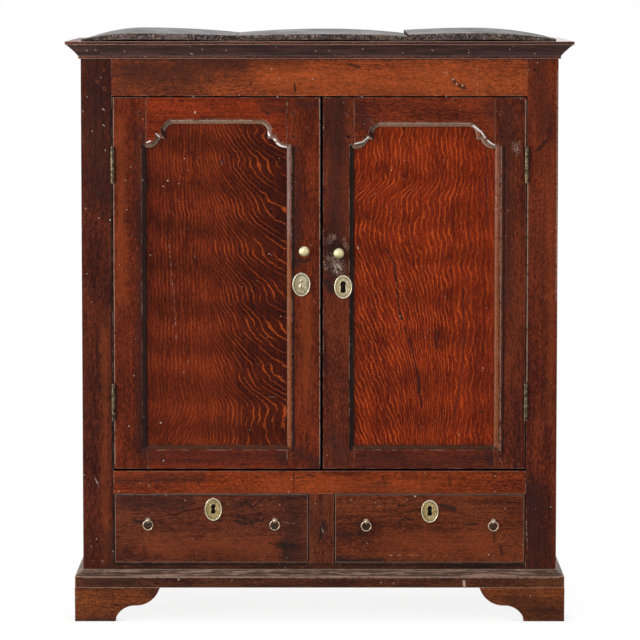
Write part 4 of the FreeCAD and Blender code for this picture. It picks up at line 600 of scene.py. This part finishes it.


# The marks on each node, in the order of painting: a kind, then each mark's half width and
# points, in pixels of the picture. The black lines along gaps and grooves are painted shade,
# and the light marks on the arched heads painted highlights.
MARKS = {
    "left_front_post": (
        ("shade", (16, (97, 70), (99, 190))),
        ("scratch", (0.8, (101.5, 77.5), (102.5, 78.5)), (0.7, (94.5, 477), (97.5, 486))),
        ("glow", (5, (105, 330), (105, 560))),
        # The black lines in the gaps beside the door and the drawer are painted shade.
        ("quirk", (1.0, (111.9, 95), (111.9, 466)), (0.9, (112.6, 494), (112.6, 562))),
        nicks(1.4, (0.9, 103.5, 108.6, 1.8), (0.8, 105.5, 87.4, 0.8), (0.7, 104, 124.5, 1.4),
         (0.6, 84, 110.5, 0.2), (0.5, 88, 96, 0.6), (0.5, 93.5, 130, -0.6), (0.5, 106, 149, 0.3),
         (0.5, 86, 207, 0.4), (0.6, 95.5, 480.5, 1.6), (0.5, 109, 482.5, 0.6), (0.5, 90, 545, -0.3),
         (0.5, 101, 560, 0.5)),
        ("shade", (7, (108, 535), (108, 568))),
    ),
    "right_front_post": (
        ("stain", (2.2, (538, 149), (542, 144), (547, 138))),
        ("glow", (4.5, (551, 145), (551, 420))),
        ("edge", (0.7, (527.2, 178), (527.2, 380)), (0.5, (556, 70), (556, 300))),
        ("shade", (16, (540, 500), (545, 565)), (9, (533, 480), (534, 565)),
         (9, (537, 62), (545, 130))),
        ("scratch", (0.5, (527, 520), (529, 552))),
    ),
    "frieze_rail": (
        ("shade", (30, (112, 76), (184, 80)), (8, (180, 62), (300, 63)),
         (20, (130, 70), (236, 72))),
        ("glow", (20, (270, 82), (470, 80))),
        ("stain", (1.8, (452, 80), (455, 83)), (2.6, (459, 86), (463, 88))),
        ("speck", (0.9, (452.4, 79.6)), (0.9, (455.8, 84)), (0.9, (461.6, 85.6))),
        ("stain", (1.4, (349, 64.5), (359, 67.5))), ("crack", (0.9, (294.5, 84), (295.6, 92))),
        ("scratch", (0.5, (476, 66), (476.5, 93))),
    ),
    "middle_rail": (
        ("crack", (0.9, (293.5, 472), (293.5, 491)), (0.8, (297, 477.5), (304, 476)),
         (0.8, (308, 473.5), (316, 476.5))),
        ("stain", (2.6, (379, 482), (386, 481.5))),
        ("crack", (0.8, (371, 482.5), (392, 482)), (0.8, (383, 475.5), (385.5, 486))),
        ("shade", (1.8, (449.5, 474), (450, 483))), ("glow", (9, (270, 484), (430, 484))),
        ("shade", (8, (120, 478), (200, 476))),
    ),
    "left_door_rails": (
        ("stain", (1.8, (267, 112), (269, 114))), ("speck", (0.7, (195.5, 111.5), (195.7, 113))),
        ("shade", (3, (203, 118.5), (216, 118)), (10, (284, 456), (292, 463)),
         (12, (140, 456), (300, 458)), (7, (262, 106), (300, 112))),
        # The light marks are painted highlights on the right shoulder of the moulding's arched
        # head.
        ("light", (1.1, (262.5, 127.6), (266.5, 130), (269.6, 135)),
         (0.9, (272.5, 138.5), (276, 139.9)), (1.3, (277.5, 143), (281, 146), (289, 147))),
        ("edge", (0.8, (172, 120.4), (252, 120.4))),
        # The light marks are painted highlights on the left shoulder of the arched head.
        ("light", (0.8, (144, 143.4), (151, 140.6)), (0.9, (157, 133.5), (159.5, 136))),
        ("speck", (0.8, (163, 459.5))),
    ),
    "right_door_rails": (
        ("shade", (12, (353, 104), (362, 118)), (9, (490, 106), (496, 116))),
        ("scratch", (0.5, (369, 118), (373, 123))),
        # The light marks are painted highlights on the right shoulder of the moulding's arched
        # head.
        ("light", (0.9, (472.7, 125.4), (480.5, 131.6), (484.5, 137.4)),
         (0.9, (487, 140), (490, 142.7), (496, 145.6))),
        ("edge", (0.8, (379, 123.2), (470, 123.2))),
        # The light marks are painted highlights on the left shoulder of the arched head.
        ("light", (0.9, (353.5, 143.6), (362, 141.6), (368, 137))),
        ("shade", (8, (492, 456), (498, 464)), (12, (350, 458), (490, 458))),
    ),
    "left_door_hanging_stile": (
        ("edge", (0.7, (114.5, 96.8), (142, 97.0)), (0.45, (114.5, 97), (114.3, 463))),
        # The shade beside the left-hand moulding is painted shadow.
        ("glow", (7, (121, 120), (122, 300))), ("shade", (7, (142, 130), (142, 450))),
    ),
    "left_door_meeting_stile": (
        ("shade", (5, (297, 104), (317, 104)), (6, (296, 150), (297, 262))),
        # The black line in the groove beside the moulding is painted shade.
        ("quirk", (1.7, (293.4, 147), (293.4, 449))),
        ("edge", (0.8, (319.8, 99), (319.8, 125)), (0.6, (319.8, 125), (319.8, 463))),
        ("stain", (1.6, (299, 258.5), (304, 261), (310, 258.5))),
        ("shade", (9, (298, 452), (316, 462))), ("glow", (8, (306, 300), (306, 400))),
    ),
    "right_door_meeting_stile": (
        ("shade", (12, (337, 104), (337, 285)), (13, (337, 248), (337, 266)),
         (7, (331, 246), (334, 268))),
        # The black stain by the plate's left is dirt with the plate's painted shadow.
        ("stain", (3.6, (327, 280), (332, 290))),
        ("scuff", (6.5, (333, 258), (339, 268)), (3.4, (329, 240), (333, 236)),
         (2.6, (344, 239), (347, 246))),
        ("fleck", (0.8, (337, 263), (341, 268)), (0.5, (334, 262), (337, 272))),
        # The black line in the groove beside the moulding is painted shade.
        ("quirk", (1.5, (350.6, 146), (350.6, 449))), ("scuff", (2.2, (324, 262), (326, 267))),
        ("shade", (10, (334, 435), (342, 462))),
    ),
    "right_door_hanging_stile": (
        # The shade beside the right-hand moulding is painted shadow, and the black line in the
        # groove painted shade.
        ("shade", (8, (507, 110), (506, 300))), ("quirk", (1.1, (503.6, 147), (503.6, 449))),
        ("edge", (0.5, (500.6, 146), (500.6, 450)), (0.6, (524.6, 100), (524.6, 175))),
        ("scuff", (4, (515, 145), (516, 149))), ("scratch", (0.5, (498, 452), (504, 466))),
    ),
    "left_door_panel": (
        ("scratch", (0.45, (169, 243), (171, 268), (174, 300), (176, 338))),
        ("speck", (0.9, (168, 180)), (0.7, (163.4, 185.6)), (0.6, (179, 183)), (0.6, (185, 158)),
         (0.6, (150.5, 254)), (0.6, (269, 253)), (0.9, (160, 422)), (0.6, (183.4, 371))),
        ("stain", (2.0, (221, 161.5))),
        ("scratch", (0.6, (221.5, 159.5), (222.5, 163)), (0.55, (265.5, 396), (275, 396))),
    ),
    "right_door_panel": (
        ("shade", (1.5, (486, 140), (486.5, 200), (486, 228))),
        ("crack", (0.7, (386, 248), (393, 261)), (1.5, (394, 263), (396.5, 280)),
         (0.9, (397, 283), (399, 310)), (1.5, (399.6, 311), (402, 318)),
         (1.2, (404, 326), (410.4, 341)), (0.9, (411, 343), (418, 374)),
         (1.6, (418.6, 376), (419.6, 392)), (0.8, (420, 394), (422, 404))),
        ("speck", (0.6, (400, 315.5))),
        ("shade", (1.3, (463, 288), (464, 344), (462, 374), (459, 397), (453, 418)),
         (2.8, (437, 331), (437, 345))),
        ("stain", (1.6, (482, 411))),
        ("speck", (0.6, (391, 169.5)), (0.6, (358, 246), (358.4, 248)), (0.7, (483.5, 367)),
         (0.6, (460, 434))),
    ),
    "left_drawer_front": (
        # The black line in the gap above the drawer is painted shade.
        ("quirk", (0.9, (115, 494.3), (307, 494.3))), ("glow", (15, (150, 545), (270, 546))),
        ("shade", (8, (122, 502), (185, 502))),
        ("verdigris", (6.0, (146.8, 523)), (6.0, (273.6, 525.5))),
        ("shade", (13, (290, 500), (296, 556))),
        ("stain", (2.2, (133, 519), (140, 522)), (1.5, (181, 507), (186, 510)),
         (1.8, (233, 507), (240, 505), (247, 500)), (2.4, (237, 520), (244, 523), (252, 523.5))),
        ("crack", (0.8, (269, 542), (280, 547))),
        ("stain", (5.0, (279, 544), (292, 545)), (4.2, (284, 546), (287, 559))),
        ("crack", (1.0, (234, 503), (244, 501), (252, 507), (262, 499))),
        ("stain", (1.6, (236, 514), (250, 521), (262, 520))),
        ("scratch", (1.0, (286.5, 553), (287, 558)), (0.5, (279, 521), (298, 523))),
        ("shade", (2.2, (143, 546), (144, 557))),
    ),
    "right_drawer_front": (
        # The black line in the gap above the drawer is painted shade.
        ("quirk", (0.8, (333, 493.9), (526, 493.9))),
        ("stain", (2.2, (335, 560), (350, 560.5), (381, 560))),
        ("glow", (14, (390, 543), (490, 541))),
        ("verdigris", (4.6, (366.5, 527)), (5.0, (493, 526))),
        ("stain", (1.8, (399, 505), (406, 505)), (2.6, (441, 505), (455, 508))),
        ("crack", (0.9, (399, 521), (405, 517.5), (413, 519))),
        ("stain", (1.3, (464, 524), (479, 523.5))),
        ("shade", (5, (362, 521), (362, 533)), (4.5, (336, 559), (382, 559))),
        ("scratch", (0.5, (390, 555), (436, 555))),
        ("stain", (1.6, (495, 530), (495, 541)), (2.4, (501, 546), (503, 553))),
        ("shade", (5, (336, 532), (348, 535))), ("speck", (1.0, (415.5, 495.5))),
    ),
    "bottom_rail": (
        # The black lines in the gaps below the drawers are painted shade.
        ("quirk", (1.3, (118, 563.8), (306, 564.2)), (1.1, (336, 564.4), (524, 564.8))),
    ),
    "drawer_divider": (
        ("stain", (3.6, (323, 523), (321, 537))), ("scratch", (0.8, (322, 526), (323.4, 533))),
    ),
    "base_moulding": (
        ("edge", (0.6, (82, 576.2), (200, 576.0), (330, 576.4), (450, 576.2), (560, 576.3))),
        ("speck", (1.5, (464.5, 580), (464.8, 584)), (1.0, (178, 578))),
        ("shade", (12, (90, 582), (130, 582))),
    ),
    "front_feet": (
        ("shade", (9, (150, 591), (160, 593)), (14, (515, 600), (552, 612)),
         (8, (90, 619), (110, 619))),
    ),
    "cornice": (
        nicks(0.8, (0.6, 88.5, 50.5, 0.7), (0.7, 97, 50.3, 1.0), (0.6, 125.5, 51.2, 1.0),
         (0.9, 192, 54, 1.2), (0.6, 203, 49.5, 0.3), (0.6, 226.5, 50.5, 0.6), (0.7, 242, 59, 0.5),
         (0.6, 251.5, 59, 0.4), (0.5, 276.5, 47, 0.2), (0.6, 316, 51, -0.6), (0.5, 329, 50.6, 0.4),
         (0.6, 362, 49, 0.8), (0.6, 402, 53, 0.4), (0.7, 431, 50.5, 1.0), (0.6, 468, 52.5, -0.5),
         (0.6, 508, 49.5, 0.5), (0.6, 533, 53.6, 0.8), (0.5, 146, 57, 0.6), (0.5, 119, 60, 0.4),
         (0.5, 121, 59.5, 0.5)),
    ),
    "top_board_left": (
        ("patch", (3.2, (168, 38), (178, 39), (185, 37))), ("stain", (2.8, (225, 38), (232, 38.4))),
        ("scratch", (0.9, (221.5, 34), (221, 41)), (0.7, (233, 36), (237, 42)),
         (0.8, (126, 39), (131, 32))),
    ),
}


def finish_nodes():
    """Give every CAD node its own wood or metal."""
    left_mouldings = sight_mouldings((0.20, 0.135, 0.115), spot(0, 236)[1])
    right_mouldings = sight_mouldings((0.24, 0.085, 0.048), spot(0, 235)[1])
    left_door = {"shaped": left_mouldings, "coat": 0.06, "arris": 0.95}
    right_door = {"shaped": right_mouldings, "coat": 0.06, "arris": 0.95}
    panel = {"contrast": 0.75, "flecks": 0.5}
    drawer = {"arris": 2.1, "rim": 0.0032}
    pegs = {"flecks": 0.0, "arris": 0.5}
    cornice = {"shaped": dark_splay, "arris": 2.2, "flecks": 1.5, "coat": 0.1}
    base = {"shaped": dusty_top((0.185, 0.115, 0.086), 0.85), "arris": 2.0, "flecks": 1.4}
    top = {"shaped": old_top, "coat": 0.0, "specular": 0.0, "arris": 1.2, "flecks": 1.6}
    oak_nodes = {
        "left_front_post": ("z", "left post", {"arris": 0.8, "flecks": 1.5}),
        "right_front_post": ("z", "right post", {"arris": 0.9}),
        "rear_posts": ("z", "side", {}),
        "frieze_rail": ("x", "frieze", {}),
        "middle_rail": ("x", "middle rail", {"arris": 1.4}),
        "bottom_rail": ("x", "bottom rail", {}),
        "drawer_divider": ("z", "divider", {}),
        "side_rails": ("y", "side", {}),
        "side_panels": ("z", "side", {}),
        **{f"{side}_door_{part}": (along, f"{side} {tone}", look)
           for side, look in (("left", left_door), ("right", right_door))
           for part, along, tone in (("hanging_stile", "z", "stile"),
                                     ("meeting_stile", "z", "stile"), ("rails", "x", "rails"))},
        "left_door_panel": ("z", "left panel", {"figure": left_figure, **panel}),
        "right_door_panel": ("z", "right panel", {"figure": right_figure, **panel}),
        "left_drawer_front": ("x", "left drawer", drawer),
        "right_drawer_front": ("x", "right drawer", drawer),
        "cornice": ("xy", "cornice", cornice),
        "base_moulding": ("xy", "base", base),
        "front_feet": ("xy", "foot", {}),
        "rear_feet": ("xy", "foot", {}),
        **{f"top_board_{place}": ("y", "top", top) for place in ("left", "centre", "right")},
        **{f"{owner}_pegs": ("y", "side", pegs) for owner in ("frame", "left_door", "right_door")},
    }
    for seed, (node, (along, tone, settings)) in enumerate(oak_nodes.items()):
        if not node.endswith("panel"):
            wear_down(node)
        paint(node, oak(node + "_oak", along, tone, seed * 3.7, marks=MARKS.get(node, ()),
                        **settings))
    inside = {"rear_rails": "x", "back_boards": "z", "cupboard_floor": "x", "shelves": "x",
              "shelf_bearers": "y", "drawer_runners": "y", "left_drawer_box": "y",
              "right_drawer_box": "y"}
    for seed, (node, along) in enumerate(inside.items()):
        wear_down(node)
        paint(node, oak(node + "_oak", along, "inside", seed * 5.1, arris=0, gloss=0.62,
                        coat=0.0, flecks=0.3))
    pale = {"tint": (0.54, 0.46, 0.29), "dull": (0.36, 0.28, 0.15), "specks": 0.2}
    golden = {"tint": (0.43, 0.33, 0.145), "dull": (0.25, 0.18, 0.070), "specks": 0.3}
    silvery = {"tint": (0.48, 0.42, 0.29), "dull": (0.27, 0.215, 0.115), "specks": 0.15}
    plates = {}
    for plate, look in (("left_door", silvery), ("right_door", pale), ("left_drawer", golden),
                        ("right_drawer", golden)):
        plates[plate] = brass(plate + "_plate_brass", oval=plate + "_escutcheon", **look)
        paint(plate + "_escutcheon", plates[plate])
    knob = brass("knob_brass", tint=(0.60, 0.54, 0.31), dull=(0.50, 0.44, 0.23), specks=0.1,
                 bright=(0.72, 0.66, 0.44), rough=0.52)
    wire = brass("ring_brass", tint=(0.42, 0.29, 0.20), dull=(0.20, 0.13, 0.080))
    knuckle = brass("knuckle_brass", tint=(0.13, 0.095, 0.050), dull=(0.022, 0.017, 0.012),
                    bright=(0.62, 0.50, 0.30), rough=0.42, specks=0.8)
    black = iron("lock_iron")
    for side in ("left", "right"):
        paint(f"{side}_door_knob", knob)
        for piece in ("drawer_ring_posts", "drawer_outer_ring", "drawer_inner_ring"):
            paint(f"{side}_{piece}", wire)
        for piece in ("drawer_lock", "drawer_lock_bolt"):
            paint(f"{side}_{piece}", black)
        paint(f"{side}_door_hinge_leaves", knuckle)
    paint("hinge_post_leaves", knuckle)
    for node in ("left_door_bolt_plate", "left_door_bolt", "right_door_lock",
                 "right_door_lock_bolt"):
        paint(node, black)
    return plates, black


def paint(node, material):
    """Give a CAD node one material."""
    slots = NODES[node].data.materials
    slots.clear()
    slots.append(material)


def wear_down(node, width=0.0007):
    """Round the arrises of a wooden CAD node a little."""
    piece = NODES[node]
    weld = piece.modifiers.new("weld", "WELD")
    weld.merge_threshold = 0.00002
    rounding = piece.modifiers.new("rounding", "BEVEL")
    rounding.width = width
    rounding.segments = 2
    rounding.limit_method = "ANGLE"
    rounding.angle_limit = math.radians(40)
    smooth = piece.modifiers.new("smooth", "WEIGHTED_NORMAL")
    smooth.keep_sharp = True


# ---------------- trim of the brass plates

# BEAD, PIN and CREST give a dome's radius and height, SLOT half a width and half a height.
PLATE_THICKNESS = 0.0020
PLATE_RIM = 0.0026
PLATE_RECESS = 0.0008
PLATE_FLOOR = FRONT - PLATE_THICKNESS + PLATE_RECESS
RIM_WIRE = 0.0009
LINE_WIRE = 0.0006
LINE_INSET = 0.0024
LIP_WIRE = 0.0009
LIP_MARGIN = 0.0010
LIP_LIFT = 0.0001
BEADS = 46
BEAD = (0.00078, 0.0009)
BEAD_INSET = 0.0012
PIN = (0.0012, 0.0008)
PIN_INSET = 0.0052
CREST = (0.0013, 0.0018)
CREST_SHIFT = 0.0005
SINK = 0.0002
COVER_LENGTH = 0.0265
COVER_RISE = 0.0125
COVER_BULGE = 0.42
COVER_SHIFT = 0.0006
COVER_LIFT = 0.0011
SLOT_WIRE = 0.0006
SLOT = (0.0005, 0.0026)
SLOT_DROP = 0.0042
SLOT_LIFT = 0.0026
KEYHOLE_RISE = 0.006
KEYHOLES = {  # the radius of the head, and the width of the waist, of the foot and its drop
    "door": (0.0060, 0.0096, 0.0116, 0.0185),
    "drawer": (0.0052, 0.0074, 0.0100, 0.0155),
}


def add_piece(name, mesh, material, body):
    """Make a smooth brass piece that rides on a body."""
    for face in mesh.faces:
        face.smooth = True
    data = bpy.data.meshes.new(name)
    mesh.to_mesh(data)
    mesh.free()
    data.materials.append(material)
    piece = bpy.data.objects.new(name, data)
    bpy.context.scene.collection.objects.link(piece)
    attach(piece, body)


def ellipse(centre, half_wide, half_high, count):
    """Points on an upright ellipse, the same distance apart along it."""
    steps = 720
    walk = [(centre[0] + half_wide * math.sin(2 * math.pi * step / steps),
             centre[1] + half_high * math.cos(2 * math.pi * step / steps))
            for step in range(steps + 1)]
    lengths = [0.0]
    for first, second in zip(walk, walk[1:]):
        lengths.append(lengths[-1] + math.dist(first, second))
    points, at = [], 0
    for index in range(count):
        wanted = lengths[-1] * index / count
        while lengths[at + 1] < wanted:
            at += 1
        points.append(walk[at])
    return points


def keyhole_outline(centre, kind, margin):
    """Points round a keyhole, a margin outside it, from its left waist over its head."""
    radius, waist, foot, drop = KEYHOLES[kind]
    radius, half_waist, half_foot = radius + margin, waist / 2 + margin, foot / 2 + margin
    middle = (centre[0], centre[1] + KEYHOLE_RISE)
    start = math.acos(min(1.0, half_waist / radius))
    neck = -math.sqrt(radius ** 2 - half_waist ** 2)
    arc = [(middle[0] - radius * math.cos(angle), middle[1] + radius * math.sin(angle))
           for angle in (-start + (math.pi + 2 * start) * step / 20 for step in range(21))]
    bottom = -drop - margin
    sweep = [(half_waist + (half_foot - half_waist) * share ** 1.5,
              neck + (bottom * 0.93 - neck) * share) for share in (0.25, 0.5, 0.75, 1.0)]
    low = [(half_foot * 0.8, bottom * 0.985), (half_foot * 0.4, bottom), (0, bottom * 1.005)]
    right = [(middle[0] + x, middle[1] + z) for x, z in sweep + low]
    left = [(2 * middle[0] - x, z) for x, z in reversed(right[:-1])]
    return arc + right + left


def add_rod(mesh, points, depth, radius, rings=8):
    """A closed rod along points on the front, with its middle at a depth."""
    count = len(points)
    loops = []
    for index, (x, z) in enumerate(points):
        before, after = points[index - 1], points[(index + 1) % count]
        run = Vector((after[0] - before[0], 0, after[1] - before[1])).normalized()
        side = Vector((run.z, 0, -run.x))
        loop = []
        for step in range(rings):
            angle = 2 * math.pi * step / rings
            offset = side * (radius * math.cos(angle)) + Vector((0, radius * math.sin(angle), 0))
            loop.append(mesh.verts.new(Vector((x, depth, z)) + offset))
        loops.append(loop)
    for index, loop in enumerate(loops):
        following = loops[(index + 1) % count]
        for step in range(rings):
            mesh.faces.new((loop[step], loop[(step + 1) % rings],
                            following[(step + 1) % rings], following[step]))


def add_dome(mesh, centre, depth, radius, height, bands=5, sides=14):
    """A low dome that stands on a face and bulges towards the front, closed behind."""
    top = mesh.verts.new((centre[0], depth - height, centre[1]))
    loops = []
    for band in range(1, bands + 1):
        angle = math.pi / 2 * band / bands
        reach, rise = radius * math.sin(angle), height * math.cos(angle)
        loops.append([mesh.verts.new((centre[0] + reach * math.cos(2 * math.pi * side / sides),
                                      depth - rise,
                                      centre[1] + reach * math.sin(2 * math.pi * side / sides)))
                      for side in range(sides)])
    for side in range(sides):
        following = (side + 1) % sides
        mesh.faces.new((top, loops[0][side], loops[0][following]))
        for inner, outer in zip(loops, loops[1:]):
            mesh.faces.new((inner[side], outer[side], outer[following], inner[following]))
    mesh.faces.new(list(reversed(loops[-1])))


# The shares of its length and the half widths, in mm, of the left door's false keyhole.
COVER_PROFILE = ((0.0, 0.0), (0.05, 1.5), (0.16, 2.9), (0.26, 2.7), (0.36, 1.9), (0.50, 3.6),
                 (0.64, 4.7), (0.76, 4.2), (0.86, 2.2), (0.92, 1.3), (0.96, 1.5), (1.0, 0.0))


def add_cover(mesh, centre, depth):
    """The false keyhole of the left door: two swelling lobes and a drop, one above the other."""
    rows, sides = 36, 12
    top = centre[1] + COVER_RISE
    loops = []
    for row in range(rows + 1):
        share = row / rows
        for (s0, w0), (s1, w1) in zip(COVER_PROFILE, COVER_PROFILE[1:]):
            if s0 <= share <= s1:
                blend = (share - s0) / (s1 - s0)
                blend = blend * blend * (3 - 2 * blend)
                half = (w0 + (w1 - w0) * blend) / 1000
                break
        half = max(half, 0.0002)
        z = top - COVER_LENGTH * share
        loops.append([mesh.verts.new((centre[0] + half * math.sin(angle),
                                      depth - half * COVER_BULGE * math.cos(angle), z))
                      for angle in (-math.pi / 2 + math.pi * side / sides
                                    for side in range(sides + 1))])
    for upper, lower in zip(loops, loops[1:]):
        for side in range(sides):
            mesh.faces.new((upper[side], upper[side + 1], lower[side + 1], lower[side]))
        mesh.faces.new((upper[0], lower[0], lower[-1], upper[-1]))
    mesh.faces.new(loops[0])
    mesh.faces.new(list(reversed(loops[-1])))


def dress_plates(plates, black):
    """Add the rims, beads, pins and keyhole lips of the four oval plates."""
    for side in ("left", "right"):
        for kind in ("door", "drawer"):
            low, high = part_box(f"{side}_{kind}_escutcheon")
            centre = ((low.x + high.x) / 2, (low.z + high.z) / 2)
            half_wide, half_high = (high.x - low.x) / 2, (high.z - low.z) / 2
            inner_wide, inner_high = half_wide - PLATE_RIM, half_high - PLATE_RIM
            body = f"{side}_{kind}"
            covered = body == "left_door"
            mesh = bmesh.new()
            add_rod(mesh, ellipse(centre, half_wide - RIM_WIRE, half_high - RIM_WIRE, 72),
                    FRONT - PLATE_THICKNESS + SINK, RIM_WIRE)
            if covered:
                for point in ellipse(centre, inner_wide - BEAD_INSET, inner_high - BEAD_INSET,
                                     BEADS):
                    add_dome(mesh, point, PLATE_FLOOR, *BEAD, 3, 8)
                add_cover(mesh, (centre[0] - COVER_SHIFT, centre[1]), PLATE_FLOOR - COVER_LIFT)
                add_dome(mesh, (centre[0] - CREST_SHIFT, centre[1] + half_high), FRONT - SINK,
                         *CREST)
            else:
                add_rod(mesh, ellipse(centre, inner_wide - LINE_INSET, inner_high - LINE_INSET,
                                      64), PLATE_FLOOR, LINE_WIRE)
                add_rod(mesh, keyhole_outline(centre, kind, LIP_MARGIN), PLATE_FLOOR - LIP_LIFT,
                        LIP_WIRE)
            for way in (-1, 1):
                add_dome(mesh, (centre[0], centre[1] + way * (half_high - PIN_INSET)),
                         PLATE_FLOOR, *PIN)
            add_piece(f"{body}_plate_trim", mesh, plates[body], body)
            if covered:
                slot = bmesh.new()
                add_rod(slot, ellipse((centre[0], centre[1] - SLOT_DROP), *SLOT, 20),
                        PLATE_FLOOR - SLOT_LIFT, SLOT_WIRE, 6)
                add_piece("left_door_plate_slot", slot, black, body)


# ---------------- stage, light and camera

def make_camera():
    """A long lens, a little above the press and looking slightly down."""
    data = bpy.data.cameras.new("camera")
    camera = bpy.data.objects.new("camera", data)
    bpy.context.scene.collection.objects.link(camera)
    data.sensor_width = 36
    data.lens = data.sensor_width * VIEW_DISTANCE * PIXELS_PER_METRE / PICTURE_WIDTH
    target = Vector((VIEW_SIDE, FRONT, VIEW_HEIGHT))
    back = Vector((0, -math.cos(VIEW_TILT), math.sin(VIEW_TILT)))
    camera.location = target + back * VIEW_DISTANCE
    camera.rotation_euler = (math.pi / 2 - VIEW_TILT, 0, 0)
    data.clip_start, data.clip_end = 0.1, 60
    bpy.context.scene.camera = camera


def white_where_seen(shader_nodes, links):
    """The share of rays that should meet plain white: those of camera, gloss and glass."""
    path = shader_nodes.new("ShaderNodeLightPath")
    seen = path.outputs["Is Camera Ray"]
    for name in ("Is Glossy Ray", "Is Transmission Ray"):
        larger = shader_nodes.new("ShaderNodeMath")
        larger.operation = "MAXIMUM"
        links.new(seen, larger.inputs[0])
        links.new(path.outputs[name], larger.inputs[1])
        seen = larger.outputs[0]
    return seen


ROOM_LIGHT = 0.22


def make_world():
    """A pale studio: white wherever it is seen, soft and even where it only gives light."""
    world = bpy.data.worlds.new("studio")
    bpy.context.scene.world = world
    world.use_nodes = True
    nodes, links = world.node_tree.nodes, world.node_tree.links
    nodes.clear()
    out = nodes.new("ShaderNodeOutputWorld")
    mix = nodes.new("ShaderNodeMixShader")
    links.new(white_where_seen(nodes, links), mix.inputs[0])
    for strength, socket in ((ROOM_LIGHT, mix.inputs[1]), (1.0, mix.inputs[2])):
        shade = nodes.new("ShaderNodeBackground")
        shade.inputs["Color"].default_value = (1, 1, 1, 1)
        shade.inputs["Strength"].default_value = strength
        links.new(shade.outputs[0], socket)
    links.new(mix.outputs[0], out.inputs["Surface"])


def make_floor():
    """A wide pale floor that keeps the press's shadow."""
    mesh = bpy.data.meshes.new("floor")
    half = 12
    mesh.from_pydata([(-half, -half, 0), (half, -half, 0), (half, half, 0), (-half, half, 0)],
                     [], [(0, 1, 2, 3)])
    floor = bpy.data.objects.new("floor", mesh)
    bpy.context.scene.collection.objects.link(floor)
    paper = Shader("floor_paper")
    links = paper.tree.links
    paper.set((0.86, 0.86, 0.86), 0.9)
    glow = paper.node("ShaderNodeEmission")
    glow.inputs["Strength"].default_value = 1.0
    shadow = paper.crevice(0.30).step(0.05, 0.95) * 0.12 + paper.crevice(0.03) * 0.25
    seen = Term(paper, white_where_seen(paper.tree.nodes, links))
    mix = paper.node("ShaderNodeMixShader")
    links.new((seen * (1 - shadow)).socket, mix.inputs[0])
    links.new(paper.surface.outputs[0], mix.inputs[1])
    links.new(glow.outputs[0], mix.inputs[2])
    links.new(mix.outputs[0], paper.out.inputs["Surface"])
    mesh.materials.append(paper.material)


def area_light(name, place, target, size, power, height=None):
    """A soft box that faces a target."""
    data = bpy.data.lights.new(name, "AREA")
    data.shape = "RECTANGLE"
    data.size = size
    data.size_y = height or size
    data.energy = power
    lamp = bpy.data.objects.new(name, data)
    bpy.context.scene.collection.objects.link(lamp)
    lamp.location = place
    lamp.rotation_euler = (Vector(target) - Vector(place)).to_track_quat("-Z", "Y").to_euler()


def make_lights():
    """A large soft box on the left, a grazing one beyond it, and weaker ones round about."""
    middle = (0, FRONT, 0.6)
    area_light("key", (-2.9, -3.4, 2.0), middle, 1.6, 110, 2.2)
    area_light("graze", (-3.2, -0.95, 1.0), (0, FRONT, 0.75), 1.0, 80, 2.2)
    area_light("fill", (3.2, -3.4, 1.6), middle, 1.6, 38, 2.2)
    area_light("overhead", (0.0, 0.2, 3.6), middle, 2.2, 60)
    area_light("back", (0.5, 4.0, 2.4), (0, 0, 0.6), 2.4, 50)


make_camera()
make_world()
make_floor()
make_lights()
dress_plates(*finish_nodes())
bpy.context.scene.view_settings.view_transform = "Standard"
